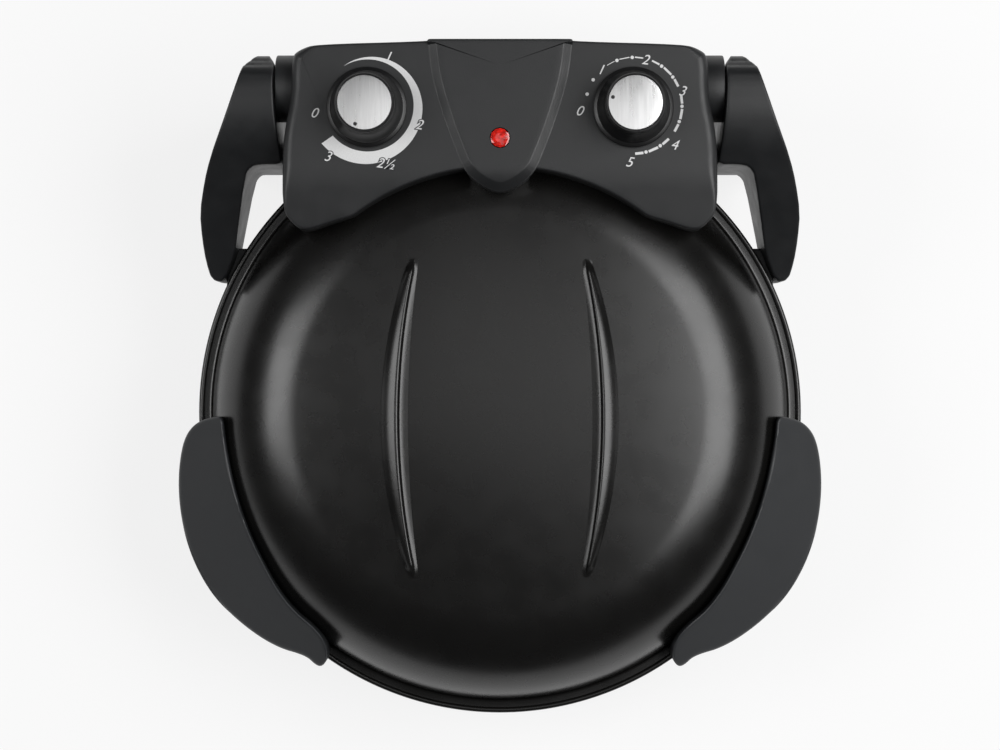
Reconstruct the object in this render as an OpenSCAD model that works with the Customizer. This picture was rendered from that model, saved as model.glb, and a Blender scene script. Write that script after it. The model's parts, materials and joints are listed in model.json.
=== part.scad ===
// Electric pizza maker with a hinged lid, a control housing at the back and a baking stone.
// +Z is up, the front is -Y, and the table is at z = 0.

/* [Oven] */
// Outer diameter of the rim flange
rim_d = 345.6; // [335:0.2:350]
// Height of the parting plane between pan and lid above the table
parting_z = 90; // [88:1:94]
// Thickness of the pressed steel shells
sheet_t = 1.2; // [0.8:0.1:1.4]
// Radius of the rolled edge of the rims
bead_r = 1.6; // [1.4:0.1:1.8]
// Gap between pan rim and lid rim
rim_gap = 0.3; // [0.3:0.1:0.5]

/* [Lid] */
// Height of the lid's crown above the parting plane
lid_rise = 58; // [56:1:60]
// Radius where the flat crown turns into the shoulder
crown_edge_r = 112; // [108:1:114]
// Slope of the crown at its edge, in degrees
crown_slope = 6; // [5:0.5:7]
// Radius of the lid's shoulder
lid_shoulder_r = 60; // [58:1:61]
// Height of the crescent ribs
rib_h = 3.2; // [2:0.2:4]
// Length of a crescent rib
rib_l = 176; // [160:1:190]
// Distance from the middle line to a rib's inner edge
rib_inner_x = 50.4; // [48:0.2:56]
// Distance from the middle line to a rib's outer edge
rib_outer_x = 65.2; // [62:0.2:70]
// Radius of the nearly straight inner edge of a rib
rib_inner_r = 660; // [600:10:800]

/* [Baking] */
// Diameter of the baking stone
stone_d = 310; // [300:1:312]
// Thickness of the baking stone
stone_t = 13; // [10:1:14]
// Radius of a heating element's tube
tube_r = 3.3; // [3:0.1:3.6]
// Radius of the lower element's ring
lower_ring_r = 100; // [80:1:110]
// Radius of the upper element's ring
upper_ring_r = 105; // [90:1:110]

/* [Pan] */
// Height of the pan's flat bottom above the table
pan_z = 30; // [28:1:32]
// Radius of the pan's shoulder
pan_shoulder_r = 50; // [46:1:52]

/* [Housing] */
// Height of the control panel above the table
panel_z = 154; // [150:1:156]
// Half width of the control housing
housing_half_w = 119.4; // [117:0.2:121]
// Distance from the oven's middle to the housing's rear wall
housing_rear_y = 204.6; // [203:0.2:206]
// Radius of the housing's front edge about the oven's middle
housing_front_r = 135.2; // [133:0.2:137]
// Wall thickness of the plastic mouldings
wall_t = 2.6; // [2.2:0.1:3]
// Height of the raised centre shield over the panel
shield_h = 3; // [2:0.5:4]
// Radius of the pilot lamp's hole
lamp_hole_r = 5.65; // [5:0.05:6]
// Distance from the oven's middle to the pilot lamp
lamp_y = 150.5; // [148:0.5:154]

/* [Hinge] */
// Distance from the oven's middle to the hinge axis
hinge_y = 181; // [180:0.5:182]
// Height of the hinge axis above the table
hinge_z = 125.5; // [125:0.5:127]
// Radius of the hinge pins
hinge_pin_r = 5; // [4:0.5:6]
// Radius of the housing's hinge stubs
stub_r = 18.6; // [18:0.2:20]

/* [Knobs] */
// Distance from the middle line to a knob's axis
knob_x = 72.8; // [70:0.2:75]
// Distance from the oven's middle to a knob's axis
knob_y = 167.3; // [165:0.2:169]
// Radius of a knob's skirt
knob_r = 22; // [20:0.5:23]
// Height of a knob
knob_h = 23.5; // [20:0.5:25]
// Direction of the thermostat knob's dot at rest, clockwise from the back
thermostat_dot_a = 203; // [0:1:359]
// Direction of the timer knob's dot at rest, clockwise from the back
timer_dot_a = 282.8; // [0:0.1:359]

/* [Handles] */
// Height of the upper handle's ridge above the table
handle_ridge_z = 123; // [120:1:126]
// Fall of the upper handle's top for each millimetre outwards
handle_fall = 0.82; // [0.7:0.01:0.9]
// Height of a rubber foot
foot_h = 6; // [5:0.5:8]
// Radius of a rubber foot
foot_r = 9; // [7:0.5:10]

/* [Hidden] */
$fn = 96;
eps = 0.01;
rim_r = rim_d / 2;
oven_y = (rim_r - housing_rear_y) / 2;
lid_top = parting_z + lid_rise;
crown_r = crown_edge_r / sin(crown_slope);
crown_c = [0, lid_top - crown_r];
shoulder_c = crown_c + (crown_r - lid_shoulder_r) * [sin(crown_slope), cos(crown_slope)];
shoulder_end_a = 8;
wall_r = shoulder_c[0] + lid_shoulder_r * cos(shoulder_end_a);
flange_drop = 0.25;
lid_edge_z = parting_z + rim_gap / 2;
pan_edge_z = parting_z - rim_gap / 2;
pan_c = [wall_r - pan_shoulder_r, pan_z + pan_shoulder_r];
foil_t = 0.8;
reflector_gap = 8;
lid_foil_r = lid_shoulder_r - sheet_t - reflector_gap;
lid_foil_crown_r = crown_r - sheet_t - reflector_gap;
lid_foil_z = parting_z + 1.4;
stone_z = parting_z - 5 - stone_t;
ledge_z = stone_z - foil_t;
tray_wall_r = stone_d / 2 + 3.3;
tray_inner_r = stone_d / 2 - 9;
tray_floor_z = pan_z + 16;
tray_rim_z = parting_z - 5.5;
lower_ring_z = tray_floor_z + 11;
upper_ring_z = parting_z + 31;
leg_x = 18;
bend_r = 12;
sleeve_t = 0.5;
lap = 1;
element_pin_r = 1.6;
element_pin_l = 9;
screw_r = 2;
screw_head_r = 3.6;
screw_head_h = 2.2;
barrel_r = 33;
front_fall_y = 135;
front_fall = 9;
stub_end_x = 124.4;
stub_gap = 0.5;
bush_r = hinge_pin_r + 2.5;
fit_gap = 0.06;
shaft_r = 3;
bush_screw_r = 4.8;
nut_r = 8;
panel_under_z = panel_z - wall_t;
knob_gap = 0.8;
knob_neck_r = 16;
knob_flare_r = 20.5;
knob_flare_z = 16;
cap_r = 14.8;
cap_t = 1.2;
dot_r = 1.1;
dot_x = 12.5;
arm_wall_t = 3;
inlet_z = 118;
cover_top_z = inlet_z - 14;
inlet_r = 3.6;
handle_top_r = 156;
handle_screw_z = parting_z + 11;
handle_screw_a = [194, 210];
lower_screw_z = parting_z - 18;
foot_front = [-118, -108];
foot_rear = [-138, 161];
foot_recess = 2;

// Half outline of the control housing, from the back middle to the front middle
HOUSING_HALF = [
    [0, housing_rear_y], [36, housing_rear_y], [42, housing_rear_y - 1], [101, housing_rear_y - 2.6],
    [110, housing_rear_y - 5], [114.4, housing_rear_y - 9], [114.4, 174], [118.6, 154],
    [housing_half_w, 138], [housing_half_w, 111], [113.4, 103.8], [110, 101.4], [104.5, 101],
    [92.7, 105], [81, 108.2], [0, 108]
];
// Half outline of the raised shield, from the back middle to its point
SHIELD_HALF = [
    [0, housing_rear_y], [40.2, housing_rear_y - 1], [37.8, 184.5], [30.9, 161], [23.9, 142.5],
    [19.2, 132], [10, 124.4], [0, 120.5]
];
// Outline of the right upper handle, from its back end round the outside to the tip at the rim
HANDLE_EDGE = [
    [159.6, -2], [173.4, -5.9], [181.8, -17.9], [185.1, -46.6], [180.4, -76.9], [166.6, -104.8],
    [147.8, -122.5], [128.1, -134.6], [110.3, -138.5], [105, -144], [101, -145], [96.5, -138]
];
// Inner edge of the right upper handle, which lies on the lid's wall
HANDLE_RIDGE = [
    [100, -124], [121, -107.5], [137.4, -76], [145.2, -55.8], [150.5, -36.5], [154.7, -13.7], [155.5, -3]
];
// Outline of the right lower handle, just inside the upper one's
LOWER_HANDLE_PLAN = [
    [158, -5], [172, -8.5], [180, -19], [183.5, -46.6], [178.8, -76], [165.3, -103.6], [146.8, -121],
    [127.5, -132.6], [112, -136], [98, -121], [121, -104], [137, -73], [150, -33]
];
// Outline of the right rear arm seen from above
ARM_PLAN = [
    [125, 199], [139.6, 199], [148.9, 171.5], [153.7, 159], [161.5, 141], [165.4, 129.5],
    [169.3, 112.8], [169.2, 98.3], [167.9, 85.5], [165.3, 75.3], [158.2, 74.3], [151.2, 90.1],
    [149.4, 99.2], [142.4, 132.6], [139, 137.2], [133, 138.4], [121.4, 138.4], [122, 144], [125, 172]
];
// Outline of a rear arm seen from the side, as distance from the oven's middle and height
ARM_SIDE = [
    [72, 66], [72, 92], [100, 108], [129, 126], [152, 141], [168, 146.5], [186, 146.5],
    [193.5, 143], [197.4, 134], [198.4, 122], [197, 108], [190, 60], [186, 6], [143.5, 6],
    [138.3, 63], [138.3, 74], [104, 70]
];

// Helpers

// Moves a piece drawn about the oven's middle to its place
module placed() {
    translate([0, oven_y, 0]) children();
}

// Draws a right-hand piece, or its mirror image when side is -1
module on_side(side) {
    mirror([side < 0 ? 1 : 0, 0, 0]) children();
}

// Full closed outline from its right half
function both_halves(half) = concat(half, [for (i = [len(half) - 1:-1:0]) if (half[i][0] > 0) [-half[i][0], half[i][1]]]);

// Corner cutting: each round replaces a corner by two points on its edges
function soften(pts, rounds) = rounds == 0 ? pts : soften(
    [for (i = [0:len(pts) - 1], t = [0.25, 0.75]) pts[i] * (1 - t) + pts[(i + 1) % len(pts)] * t],
        rounds - 1);

// Crossing point of two lines, each given by a point and a direction
function crossing(p, d, q, e) = p + d * ((q - p)[0] * e[1] - (q - p)[1] * e[0]) / (d[0] * e[1] - d[1] * e[0]);

// Unit vector along an edge, and the inward normal of a clockwise outline
function unit(v) = v / norm(v);
function inward(v) = [v[1], -v[0]];

// Outline moved inwards by d, for a clockwise outline
function inset(pts, d) = [for (i = [0:len(pts) - 1])
    let (
        a = pts[(i + len(pts) - 1) % len(pts)],
        b = pts[i],
        c = pts[(i + 1) % len(pts)],
        u = unit(b - a),
        v = unit(c - b),
        straight = abs(u[0] * v[1] - u[1] * v[0]) < 0.001
    )
    straight ? b + d * inward(v) : crossing(b + d * inward(u), u, b + d * inward(v), v)];

// A bent strip of sheet in the profile plane, with outer radius r, from angle a0 to a1
module arc_strip(centre, r, t, a0, a1) {
    translate(centre)
        intersection() {
            difference() {
                circle(r = r, $fn = 720);
                circle(r = r - t, $fn = 720);
            }
            polygon([[0, 0], for (i = [0:4]) 1.3 * r * [cos(a0 + (a1 - a0) * i / 4),
                sin(a0 + (a1 - a0) * i / 4)]]);
        }
}

// Profile of a dome sheet: the crown, then the shoulder down to the end angle
module dome_strip(inset_by, t, end_a) {
    arc_strip(crown_c, crown_r - inset_by, t, 90 - crown_slope, 90);
    arc_strip(shoulder_c, lid_shoulder_r - inset_by, t, end_a, 90 - crown_slope);
}

// Everything under the lid's outer surface, grown by a gap
module under_lid(gap) {
    rotate_extrude($fn = 180) {
        intersection() {
            translate(crown_c) circle(r = crown_r + gap, $fn = 720);
            polygon([[0, 60], [0, lid_top + 9], shoulder_c + 80 * [sin(crown_slope), cos(crown_slope)],
                shoulder_c, [shoulder_c[0], 60]]);
        }
        intersection() {
            translate(shoulder_c) circle(r = lid_shoulder_r + gap, $fn = 720);
            polygon([shoulder_c, shoulder_c + 80 * [sin(crown_slope), cos(crown_slope)],
                shoulder_c + [90, 90], shoulder_c + [90, 0]]);
        }
        translate([shoulder_c[0] - eps, 60]) square([lid_shoulder_r + gap, shoulder_c[1] - 60 + eps]);
        translate([0, 60]) square([rim_r + 0.4 + gap, parting_z + 3.6 - 60]);
    }
}

// Everything inside the pan's outer surface and its flange, grown by a gap
module inside_pan(gap) {
    rotate_extrude($fn = 180) {
        translate([0, pan_z - gap]) square([pan_c[0], parting_z - pan_z + gap]);
        translate(pan_c) circle(r = pan_shoulder_r + gap, $fn = 360);
        translate([0, pan_c[1]]) square([wall_r + gap, parting_z - pan_c[1]]);
        translate([0, pan_edge_z - 2 * bead_r - 0.4]) square([rim_r + 0.4, 2 * bead_r + 0.6]);
    }
}

// A screw along +Z: the head below, the shank upwards from z = 0
module screw(length) {
    translate([0, 0, -screw_head_h]) cylinder(r = screw_head_r, h = screw_head_h, $fn = 32);
    cylinder(r = screw_r, h = length, $fn = 32);
}

// Places a piece on a circle about the oven's middle, with +Z pointing outwards
module outwards(a, r, z) {
    rotate([0, 0, a]) translate([r, 0, z]) rotate([0, 90, 0]) children();
}

// A heating element: an open ring, sleeved bends and two straight legs to the back
module element(ring_r, z, leg_end_y) {
    turn_a = acos((leg_x + bend_r) / (ring_r + bend_r));
    lap_a = lap / ring_r * 180 / PI;
    leg_start_y = (ring_r + bend_r) * sin(turn_a);
    rotate([0, 0, 180 - turn_a - lap_a])
        rotate_extrude(angle = 180 + 2 * (turn_a + lap_a), $fn = 128)
            translate([ring_r, z]) circle(r = tube_r, $fn = 40);
    for (s = [0, 1])
        mirror([s, 0, 0]) {
            translate([leg_x + bend_r, leg_start_y, 0])
                rotate([0, 0, 180])
                    rotate_extrude(angle = turn_a, $fn = 72)
                        translate([bend_r, z]) circle(r = tube_r + sleeve_t, $fn = 40);
            translate([leg_x, leg_start_y - lap, z])
                rotate([-90, 0, 0]) cylinder(r = tube_r, h = leg_end_y - leg_start_y + lap, $fn = 40);
            translate([leg_x, leg_end_y - lap, z])
                rotate([-90, 0, 0]) cylinder(r = element_pin_r, h = element_pin_l + lap, $fn = 24);
        }
}

// Upright clips that hold an element's ring, from one height to another
module element_clips(ring_r, z, z0, z1) {
    for (a = [30, 150, 270])
        rotate([0, 0, a])
            difference() {
                translate([ring_r - 6, -0.8, z0]) cube([12, 1.6, z1 - z0]);
                translate([ring_r, -2, z]) rotate([-90, 0, 0]) cylinder(r = tube_r + 0.15, h = 4, $fn = 40);
            }
}

// A rim flange with its rolled edge; up is 1 for the lid and -1 for the pan
module rim_profile(edge_z, up) {
    flange_z = edge_z + up * flange_drop;
    translate([wall_r - sheet_t, min(flange_z, flange_z + up * sheet_t)])
        square([rim_r - bead_r - wall_r + sheet_t, sheet_t]);
    translate([rim_r - bead_r, edge_z + up * bead_r]) circle(r = bead_r, $fn = 40);
}

// Base

module base_pan() {
    color("#2b2b2d") placed() difference() {
        rotate_extrude($fn = 180) {
            rim_profile(pan_edge_z, -1);
            arc_strip(pan_c, pan_shoulder_r, sheet_t, -90,
                asin((pan_edge_z - pan_c[1] - 1.2) / pan_shoulder_r));
            translate([0, pan_z]) square([pan_c[0] + eps, sheet_t]);
        }
        for (s = [-1, 1])
            translate([s * leg_x, 120, lower_ring_z]) rotate([-90, 0, 0]) cylinder(r = 5, h = 60, $fn = 32);
        for (s = [-1, 1])
            on_side(s) {
                for (a = handle_screw_a) outwards(180 - a, 140, lower_screw_z)
                    cylinder(r = 2.3, h = 40, $fn = 32);
                arm_screw_places() cylinder(r = 2.3, h = 12, center = true, $fn = 32);
            }
    }
}

module base_reflector() {
    color("#b9bbbd") placed() difference() {
        rotate_extrude($fn = 180) {
            translate([0, tray_floor_z]) square([tray_inner_r, foil_t]);
            translate([tray_inner_r - foil_t, tray_floor_z])
                square([foil_t, ledge_z - tray_floor_z + foil_t]);
            translate([tray_inner_r - foil_t, ledge_z])
                square([tray_wall_r - tray_inner_r + foil_t, foil_t]);
            translate([tray_wall_r - foil_t, ledge_z]) square([foil_t, tray_rim_z - ledge_z + foil_t]);
            translate([tray_wall_r - foil_t, tray_rim_z]) square([5, foil_t]);
        }
        for (s = [-1, 1])
            translate([s * leg_x, 120, lower_ring_z]) rotate([-90, 0, 0]) cylinder(r = 5, h = 60, $fn = 32);
    }
}

module reflector_posts() {
    color("#8c8f92") placed()
        for (a = [45:90:315])
            rotate([0, 0, a]) translate([100, 0, pan_z + sheet_t])
                cylinder(r = 5, h = tray_floor_z - pan_z - sheet_t);
}

module lower_element() {
    color("#5a5652") placed() element(lower_ring_r, lower_ring_z, 169);
}

module lower_element_clips() {
    color("#8c8f92") placed() element_clips(lower_ring_r, lower_ring_z, tray_floor_z + foil_t,
        lower_ring_z + 5);
}

module baking_stone() {
    color("#d8c3a0") placed() translate([0, 0, stone_z]) cylinder(d = stone_d, h = stone_t, $fn = 180);
}

// Outer radius of the pan's wall, and inner radius of the lid's wall, at a height
function pan_wall_r(z) = pan_c[0] + sqrt(pow(pan_shoulder_r, 2) - pow(z - pan_c[1], 2));
function lid_inner_r(z) = shoulder_c[0] + sqrt(pow(lid_shoulder_r - sheet_t,
    2) - pow(z - shoulder_c[1], 2));

// The two screws of each arm, drawn on the right: at the front saddle and at the rear web
module arm_screw_places() {
    for (place = [[27, parting_z - 13], [59, parting_z - 13]])
        outwards(place[0], pan_wall_r(place[1]), place[1]) children();
}

// Everything above a rear arm's side outline moved in by its wall
module arm_side_prism(pts, x0, x1) {
    translate([x0, 0, 0]) rotate([90, 0, 90]) linear_extrude(x1 - x0) polygon(pts);
}

module arm() {
    plan = soften(ARM_PLAN, 1);
    hollow_side = [
        [66, 60], [66, 86], [100, 104.5], [129, 122.5], [153, 137.5], [169, 143.4], [185, 143.4],
        [191, 140.6], [194.3, 133], [195.2, 122], [193.8, 108], [186.8, 60], [182, 0], [147.2, 0],
            [141.6, 60]
    ];
    difference() {
        union() {
            difference() {
                intersection() {
                    linear_extrude(160) polygon(plan);
                    arm_side_prism(ARM_SIDE, 100, 190);
                }
                intersection() {
                    linear_extrude(160) polygon(inset(plan, arm_wall_t));
                    arm_side_prism(hollow_side, 100, 190);
                }
            }
            // front saddle under the rim flange
            intersection() {
                translate([138, 66, parting_z - 24]) cube([22, 28, 19]);
                linear_extrude(160) polygon([[138, 66], [157.5, 66], [160, 94], [138, 94]]);
            }
            // rear web under the housing
            translate([80, 142, 44]) cube([50, 14, 40]);
            // leg floor over the rubber foot
            intersection() {
                linear_extrude(160) polygon(plan);
                translate([120, 143.5, foot_h - foot_recess + 2]) cube([60, 42, 8]);
            }
            // boss round the hinge pin
            translate([stub_end_x, hinge_y, hinge_z]) rotate([0, 90, 0]) cylinder(r = 10, h = 14);
        }
        inside_pan(0.2);
        translate([110, hinge_y, hinge_z]) rotate([0, 90, 0])
            cylinder(r = stub_r + 0.6, h = stub_end_x + stub_gap - 110);
        translate([110, hinge_y, hinge_z]) rotate([0, 90, 0]) cylinder(r = hinge_pin_r, h = 31);
        translate([-foot_rear[0], foot_rear[1], -eps]) cylinder(r = foot_r, h = foot_h + foot_recess + eps);
        arm_screw_places() translate([0, 0, -2]) cylinder(r = screw_r, h = 15, $fn = 32);
    }
}

module left_arm() {
    color("#232527") placed() on_side(-1) arm();
}

module right_arm() {
    color("#232527") placed() on_side(1) arm();
}

module arm_screws() {
    color("#9a9ea2") placed()
        for (s = [-1, 1]) on_side(s) arm_screw_places() translate([0, 0, -sheet_t - 0.4]) screw(13);
}

module hinge_pin() {
    translate([111, hinge_y, hinge_z]) rotate([0, 90, 0]) difference() {
        cylinder(r = hinge_pin_r, h = 30);
        translate([0, 0, -1]) cylinder(r = 3, h = 32);
    }
}

module left_hinge_pin() {
    color("#a6aaae") placed() on_side(-1) hinge_pin();
}

module right_hinge_pin() {
    color("#a6aaae") placed() on_side(1) hinge_pin();
}

// Closed plan outline of a handle, and a bigger one that reaches into the shell
function handle_plan() = concat(soften_open(HANDLE_EDGE), soften_open(HANDLE_RIDGE));
function soften_open(pts) = concat([pts[0]],
    [for (i = [0:len(pts) - 2], t = [0.25, 0.75]) pts[i] * (1 - t) + pts[i + 1] * t], [pts[len(pts) - 1]]);

// The lower handle: a hollow wing under the rim, and a leg that stands on the front foot
module lower_handle() {
    plan = soften(LOWER_HANDLE_PLAN, 1);
    top_z = parting_z - 0.8;
    difference() {
        union() {
            difference() {
                intersection() {
                    linear_extrude(parting_z) polygon(plan);
                    rotate_extrude($fn = 180)
                        polygon([[90, 52], [165, 52], [192, 76], [197, 82], [197, top_z], [90, top_z]]);
                }
                difference() {
                    linear_extrude(top_z - wall_t) polygon(inset(plan, wall_t));
                    for (a = handle_screw_a) outwards(180 - a, 140, lower_screw_z)
                        cylinder(r = 5.5, h = 60);
                }
            }
            handle_leg(top_z);
        }
        inside_pan(0.2);
        translate([-foot_front[0], foot_front[1], -eps])
            cylinder(r = foot_r, h = foot_h + foot_recess + eps);
        for (a = handle_screw_a) outwards(180 - a, 155, lower_screw_z)
            cylinder(r = screw_r, h = 21, $fn = 32);
    }
}

// A post with an open inner side, closed at the bottom over the rubber foot
module handle_leg(top_z) {
    post_w = 34;
    floor_z = foot_h - foot_recess + 8;
    rotate([0, 0, atan2(foot_front[1], -foot_front[0])]) difference() {
        translate([132, -post_w / 2, foot_h - foot_recess + 2]) cube([39, post_w, top_z - foot_h - 2]);
        translate([130, -post_w / 2 + wall_t, floor_z])
            cube([41 - wall_t, post_w - 2 * wall_t, top_z - floor_z - 5]);
    }
}

module left_lower_handle() {
    color("#2c2e31") placed() on_side(-1) lower_handle();
}

module right_lower_handle() {
    color("#2c2e31") placed() on_side(1) lower_handle();
}

module lower_handle_screws() {
    color("#9a9ea2") placed()
        for (s = [-1, 1])
            on_side(s)
                for (a = handle_screw_a) outwards(180 - a, 161, lower_screw_z) screw(15);
}

// A round rubber foot with a chamfered edge
module rubber_foot(side, place) {
    color("#1a1a1a") placed() on_side(side) translate([-place[0], place[1], 0])
        rotate_extrude()
            polygon([[0, 0], [foot_r - 1.2, 0], [foot_r, 1.2], [foot_r, foot_h + foot_recess],
                [0, foot_h + foot_recess]]);
}

module base_terminal_block() {
    color("#e8e4da") placed() difference() {
        translate([-28, 163, lower_ring_z - 6]) cube([56, 11, 12]);
        for (s = [-1, 1])
            translate([s * leg_x, 150, lower_ring_z]) rotate([-90, 0, 0])
                cylinder(r = tube_r, h = 30, $fn = 40);
    }
}

module terminal_cover() {
    color("#2b2b2d") placed() difference() {
        translate([-36, 140, lower_ring_z - 16]) cube([72, 40, 32]);
        translate([-33.5, 130, lower_ring_z - 13.5]) cube([67, 47.5, 27]);
        inside_pan(0.05);
    }
}

// Lid

module crescent() {
    half = rib_l / 2;
    inner_c = rib_inner_x - rib_inner_r;
    // distance between the two edges at the middle fixes the outer edge's radius
    outer_sag = half * half / (2 * rib_inner_r) + rib_outer_x - rib_inner_x;
    outer_r = (half * half + outer_sag * outer_sag) / (2 * outer_sag);
    difference() {
        translate([rib_outer_x - outer_r, -2.6]) circle(r = outer_r, $fn = 360);
        translate([inner_c, -2.6]) circle(r = rib_inner_r, $fn = 720);
    }
}

module lid_shell() {
    color("#35332f") placed() {
        difference() {
            rotate_extrude($fn = 180) {
                dome_strip(0, sheet_t, shoulder_end_a);
                rim_profile(lid_edge_z, 1);
            }
            for (s = [-1, 1]) {
                translate([s * leg_x, 120, upper_ring_z]) rotate([-90, 0, 0])
                    cylinder(r = 5, h = 60, $fn = 32);
                on_side(s)
                    for (a = handle_screw_a) outwards(180 - a, 155, handle_screw_z)
                        cylinder(r = 2.3, h = 20, $fn = 32);
            }
            translate([-knob_x, 120, capillary_z()]) rotate([-90, 0, 0])
                cylinder(r = 1.6, h = 40, $fn = 24);
            housing_screw_places() cylinder(r = 2.3, h = 60, center = true, $fn = 32);
        }
        for (s = [-1, 1])
            on_side(s) intersection() {
                translate([0, 0, parting_z]) linear_extrude(80) crescent();
                rotate_extrude($fn = 180)
                    arc_strip(crown_c, crown_r + rib_h, rib_h + sheet_t / 2, 90 - crown_slope, 90);
            }
    }
}

module lid_reflector() {
    color("#c4c6c8") placed() difference() {
        rotate_extrude($fn = 180) {
            dome_strip(sheet_t + reflector_gap, foil_t, 10.2);
            translate([shoulder_c[0] + (lid_foil_r - foil_t) * cos(10.2), lid_foil_z]) square([7, foil_t]);
        }
        for (s = [-1, 1])
            translate([s * leg_x, 115, upper_ring_z]) rotate([-90, 0, 0]) cylinder(r = 5, h = 60, $fn = 32);
    }
}

module lid_posts() {
    color("#8c8f92") placed() intersection() {
        for (a = [0:90:270])
            rotate([0, 0, a]) translate([70, 0, parting_z + 40]) cylinder(r = 5, h = 30);
        rotate_extrude($fn = 180) arc_strip(crown_c, crown_r - sheet_t, reflector_gap,
            90 - crown_slope, 90);
    }
}

module upper_element() {
    color("#5a5652") placed() element(upper_ring_r, upper_ring_z, 174);
}

module upper_element_clips() {
    color("#8c8f92") placed() difference() {
        element_clips(upper_ring_r, upper_ring_z, upper_ring_z - 5, upper_ring_z + 18);
        rotate_extrude($fn = 180)
            difference() {
                translate([60, parting_z + 20]) square([90, 60]);
                intersection() {
                    translate(crown_c) circle(r = lid_foil_crown_r - foil_t, $fn = 720);
                    translate([60, parting_z + 10]) square([91, 60]);
                }
            }
    }
}

// Everything under the sloping top of an upper handle
module handle_top(lower_by) {
    rotate_extrude($fn = 180)
        polygon([
            [90, parting_z + 0.8 - 20 * lower_by], [198, parting_z + 0.8 - 20 * lower_by],
            [198, handle_ridge_z - handle_fall * (193 - handle_top_r) - lower_by],
            [193, handle_ridge_z - handle_fall * (193 - handle_top_r) - lower_by],
            [handle_top_r, handle_ridge_z - lower_by], [90, handle_ridge_z - lower_by]
        ]);
}

module upper_handle() {
    difference() {
        intersection() {
            linear_extrude(160) polygon(handle_plan());
            handle_top(0);
        }
        difference() {
            intersection() {
                linear_extrude(160) polygon(inset(handle_plan(), wall_t));
                handle_top(wall_t);
            }
            for (a = handle_screw_a) outwards(180 - a, 150, handle_screw_z) cylinder(r = 5, h = 28);
        }
        under_lid(0.1);
        for (a = handle_screw_a) outwards(180 - a, 150, handle_screw_z)
            cylinder(r = screw_r, h = 25.5, $fn = 32);
    }
}

module left_upper_handle() {
    color("#303338") placed() on_side(-1) upper_handle();
}

module right_upper_handle() {
    color("#303338") placed() on_side(1) upper_handle();
}

module upper_handle_screws() {
    color("#9a9ea2") placed()
        for (s = [-1, 1])
            on_side(s)
                for (a = handle_screw_a)
                    outwards(180 - a, lid_inner_r(handle_screw_z + screw_head_r) - 0.2,
                        handle_screw_z) screw(14);
}

// Control housing

// Side outline of the housing: its top, its front fall and its round back under the hinge
module housing_side(t) {
    union() {
        polygon([
            [90 + t, parting_z + 6.5], [90 + t, panel_z - front_fall - 3 - t], [front_fall_y, panel_z - t],
            [housing_rear_y + 1 - t, panel_z - t], [housing_rear_y + 1 - t, hinge_z],
            [hinge_y, hinge_z], [hinge_y - 8, parting_z + 6.5]
        ]);
        intersection() {
            translate([hinge_y, hinge_z]) circle(r = barrel_r - t, $fn = 120);
            translate([hinge_y - 40, hinge_z - 40]) square([80, 45]);
        }
    }
}

// The housing's outer body, or its hollow when t is the wall
module housing_body(t) {
    outline = soften(both_halves(HOUSING_HALF), 1);
    intersection() {
        linear_extrude(panel_z) difference() {
            polygon(t > 0 ? inset(outline, t) : outline);
            circle(r = housing_front_r + t, $fn = 360);
        }
        translate([-140, 0, 0]) rotate([90, 0, 90]) linear_extrude(280) housing_side(t);
    }
}

// The raised shield over the panel and its tongue on the lid, with sloping sides
module shield(t) {
    outline = soften(both_halves(SHIELD_HALF), 1);
    intersection() {
        linear_extrude(panel_z + shield_h) polygon(inset(outline, t > 0 ? t : 0.5));
        translate([-60, 0, 0]) rotate([90, 0, 90]) linear_extrude(120)
            polygon([
                [100, 90], [100, panel_z - front_fall - 3], [118, panel_z - front_fall / 2 - t],
                [front_fall_y - 4, panel_z + shield_h - t],
                [housing_rear_y + 2, panel_z + shield_h - t], [housing_rear_y + 2, 110]
            ]);
    }
}

// Bounds of the part of the shell that the back cover closes
module cover_cut(gap) {
    translate([-98 + gap, hinge_y - 7 + gap, 80]) cube([196 - 2 * gap, 40, cover_top_z - gap - 80]);
}

module housing_shell() {
    difference() {
        union() {
            housing_body(0);
            shield(0);
            for (s = [-1, 1]) on_side(s)
                translate([108, hinge_y, hinge_z]) rotate([0, 90, 0])
                    cylinder(r = stub_r, h = stub_end_x - 108);
        }
        difference() {
            union() {
                housing_body(wall_t);
                shield(wall_t);
            }
            for (s = [-1, 1]) on_side(s)
                translate([104, hinge_y, hinge_z]) rotate([0, 90, 0]) cylinder(r = bush_r + 3, h = 20);
            housing_screw_places() cylinder(r = 5, h = 40);
        }
        under_lid(0.1);
    }
}

// Two upright screws that hold the housing to the lid, and their direction
module housing_screw_places() {
    for (s = [-1, 1]) translate([s * 92, 117, parting_z + 28]) children();
}

// Two screws under the back cover, at the level of their heads' upper faces
module cover_screw_places() {
    for (s = [-1, 1]) translate([s * 60, hinge_y + 8, 92.8]) children();
}

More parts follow.
